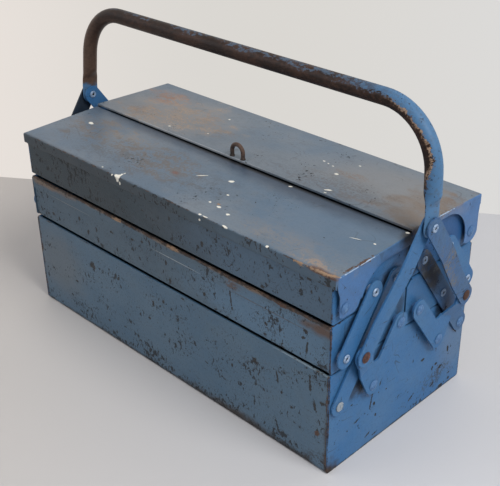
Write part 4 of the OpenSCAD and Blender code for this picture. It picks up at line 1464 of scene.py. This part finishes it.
@dataclass
class Staple:
    """Bent wire loop for a padlock, with feet hammered flat under the lid."""

    finishes: Finishes
    x: float = 4.0
    y: float = 0.8
    foot_z: float = 207.2
    lid_z: float = 210.7
    crown_z: float = 226.7
    half_gap: float = 7.5
    wire: float = 2.1
    foot: float = 3.2

    def build(self) -> None:
        """Bend the wire and hand it over."""
        Bench.clear()
        arch = self.crown_z - self.wire - self.half_gap
        bpy.ops.mesh.primitive_circle_add(
            vertices=16, radius=self.foot * MM, fill_type="NGON",
            location=((self.x + self.half_gap) * MM, self.y * MM, self.foot_z * MM))
        piece = bpy.context.object
        piece.name = piece.data.name = "padlock_staple_wire"
        bpy.ops.object.transform_apply(location=True)
        rings = [
            (self.foot, self.foot_z), (self.foot, self.foot_z + 1.1), (self.wire, self.foot_z + 1.4),
            (self.wire, self.lid_z), (self.wire + 0.7, self.lid_z + 0.05), (self.wire + 0.6, self.lid_z + 0.6),
            (self.wire, self.lid_z + 1.5), (self.wire, arch)]
        with Bench.editing():
            Bench.draw(rings, self.x + self.half_gap, self.y)
            bpy.ops.mesh.spin(
                steps=14, angle=math.pi, center=(self.x * MM, self.y * MM, arch * MM), axis=(0, 1, 0))
            Bench.draw(rings[::-1], self.x - self.half_gap, self.y)
            bpy.ops.mesh.select_all(action="SELECT")
            bpy.ops.mesh.normals_make_consistent(inside=False)
        Bench.shade(piece, ROUND_ANGLE)
        Bench.coat(piece, self.finishes.wire)
        Bench.hand_over(piece, "rear_lid", "rusty_steel", "padlock_staple")


@dataclass
class Studio:
    """Floor, backdrop, lamps and camera."""

    eye: Point = (0.6246, -0.5976, 0.5958)
    ahead: Point = (-0.6228, 0.6117, -0.4878)
    right: Point = (0.7071, 0.7070, -0.0163)
    lens: float = 68.52
    shift: tuple[float, float] = (0.0054, -0.0006)
    lamp_target: Point = (0, 0, 0.12)
    sky: Colour = (0.90, 0.93, 1.0, 1.0)
    sky_light: float = 0.42

    def build(self) -> None:
        """Set up the room, the light and the camera."""
        self.room()
        self.lamps()
        self.camera()

    def room(self) -> None:
        """Add the floor and the wall behind."""
        ground = ((-4, -4, 0), (4, -4, 0), (4, 4, 0), (-4, 4, 0))
        upright = ((-3.2, -1.72, 0), (3.2, 2.52, 0), (3.2, 2.52, 3), (-3.2, -1.72, 3))
        for name, corners, finish in (
            ("studio_floor", ground, self.floor), ("studio_wall", upright, self.backdrop)
        ):
            Bench.clear()
            bpy.ops.mesh.primitive_plane_add(size=1)
            plane = bpy.context.object
            plane.name = name
            order = sorted(plane.data.vertices, key=lambda v: (v.co.y, v.co.x * (1 if v.co.y < 0 else -1)))
            for vertex, corner in zip(order, corners):
                vertex.co = corner
            Bench.coat(plane, finish(Graph(name)))

    @staticmethod
    def floor(g: Graph) -> bpy.types.Material:
        """Finish the floor's material in an empty graph."""
        tone = g.mix((g.x + g.y).rise(-700.0, 300.0), tint(196, 190, 184), tint(198, 198, 201))
        cloud = g.clouds((400, 400, 400), 2.0, 2.0)
        return g.finish(g.mix(cloud * 0.06, tone, tint(120, 120, 122)), 0.6)

    @staticmethod
    def backdrop(g: Graph) -> bpy.types.Material:
        """Finish the wall's material: paint for the light, its own pale tone for the camera, clear from behind.

        Args:
            g: The material's empty graph.

        Returns:
            The finished material.
        """
        left = g.mix(g.x.rise(-560.0, -260.0), tint(231, 224, 218), tint(218, 215, 210))
        tone = g.mix(g.x.rise(-250.0, 250.0), left, tint(220, 220, 220))
        # Rays from the camera, and the two other kinds that pick up the pale tone.
        seen = g.node("LightPath", output=0)
        for output in (3, 6):
            seen = seen.most(g.node("LightPath", output=output))
        behind = g.node("NewGeometry", output=6) * g.node("LightPath", output=0)
        paint = g.node("BsdfPrincipled", values={"Base Color": tone})
        lit = g.node("MixShader", values={0: seen, 1: paint, 2: g.node("Emission", values={"Color": tone})})
        return g.close(g.node("MixShader", values={0: behind, 1: lit, 2: g.node("BsdfTransparent")}))

    def lamps(self) -> None:
        """Add a broad key light, a fill light and a pale world."""
        for name, place, size, power, shade in (
            ("key", (1.6, -0.1, 1.9), 1.3, 43.0, (1.0, 0.985, 0.96)),
            ("fill", (-1.2, -1.6, 1.5), 2.0, 13.0, (0.93, 0.96, 1.0)),
        ):
            lamp = bpy.data.lights.new(name, "AREA")
            lamp.shape = "DISK"
            lamp.size, lamp.energy, lamp.color = size, power, shade
            made = bpy.data.objects.new(name, lamp)
            made.location = place
            made.rotation_euler = (Vector(self.lamp_target) - Vector(place)).to_track_quat("-Z", "Y").to_euler()
            bpy.context.scene.collection.objects.link(made)
        world = bpy.data.worlds.new("studio")
        world.use_nodes = True
        background = world.node_tree.nodes["Background"]
        background.inputs["Color"].default_value = self.sky
        background.inputs["Strength"].default_value = self.sky_light
        bpy.context.scene.world = world

    def camera(self) -> None:
        """Place the camera where the photograph was taken from."""
        data = bpy.data.cameras.new("camera")
        data.sensor_width, data.lens = 36.0, self.lens
        data.shift_x, data.shift_y = self.shift
        data.clip_start = 0.01
        made = bpy.data.objects.new("camera", data)
        ahead = Vector(self.ahead).normalized()
        right = Vector(self.right).normalized()
        turn = Matrix((right, right.cross(ahead), -ahead)).transposed().to_4x4()
        made.matrix_world = Matrix.Translation(self.eye) @ turn
        bpy.context.scene.collection.objects.link(made)
        bpy.context.scene.camera = made


def main() -> None:
    """Build the studio and the toolbox, and log each part as it is ready."""
    logging.basicConfig(level=logging.INFO, format="%(name)s: %(message)s")
    bpy.context.scene.view_settings.view_transform = "Standard"
    Studio().build()
    finishes = Finishes()
    for part in (Carcass, Lids, LinkWork, Rivets, TubeHandle, Staple):
        part(finishes).build()
        log.info("%s is ready", part.__name__)


if __name__ == "__main__":
    main()
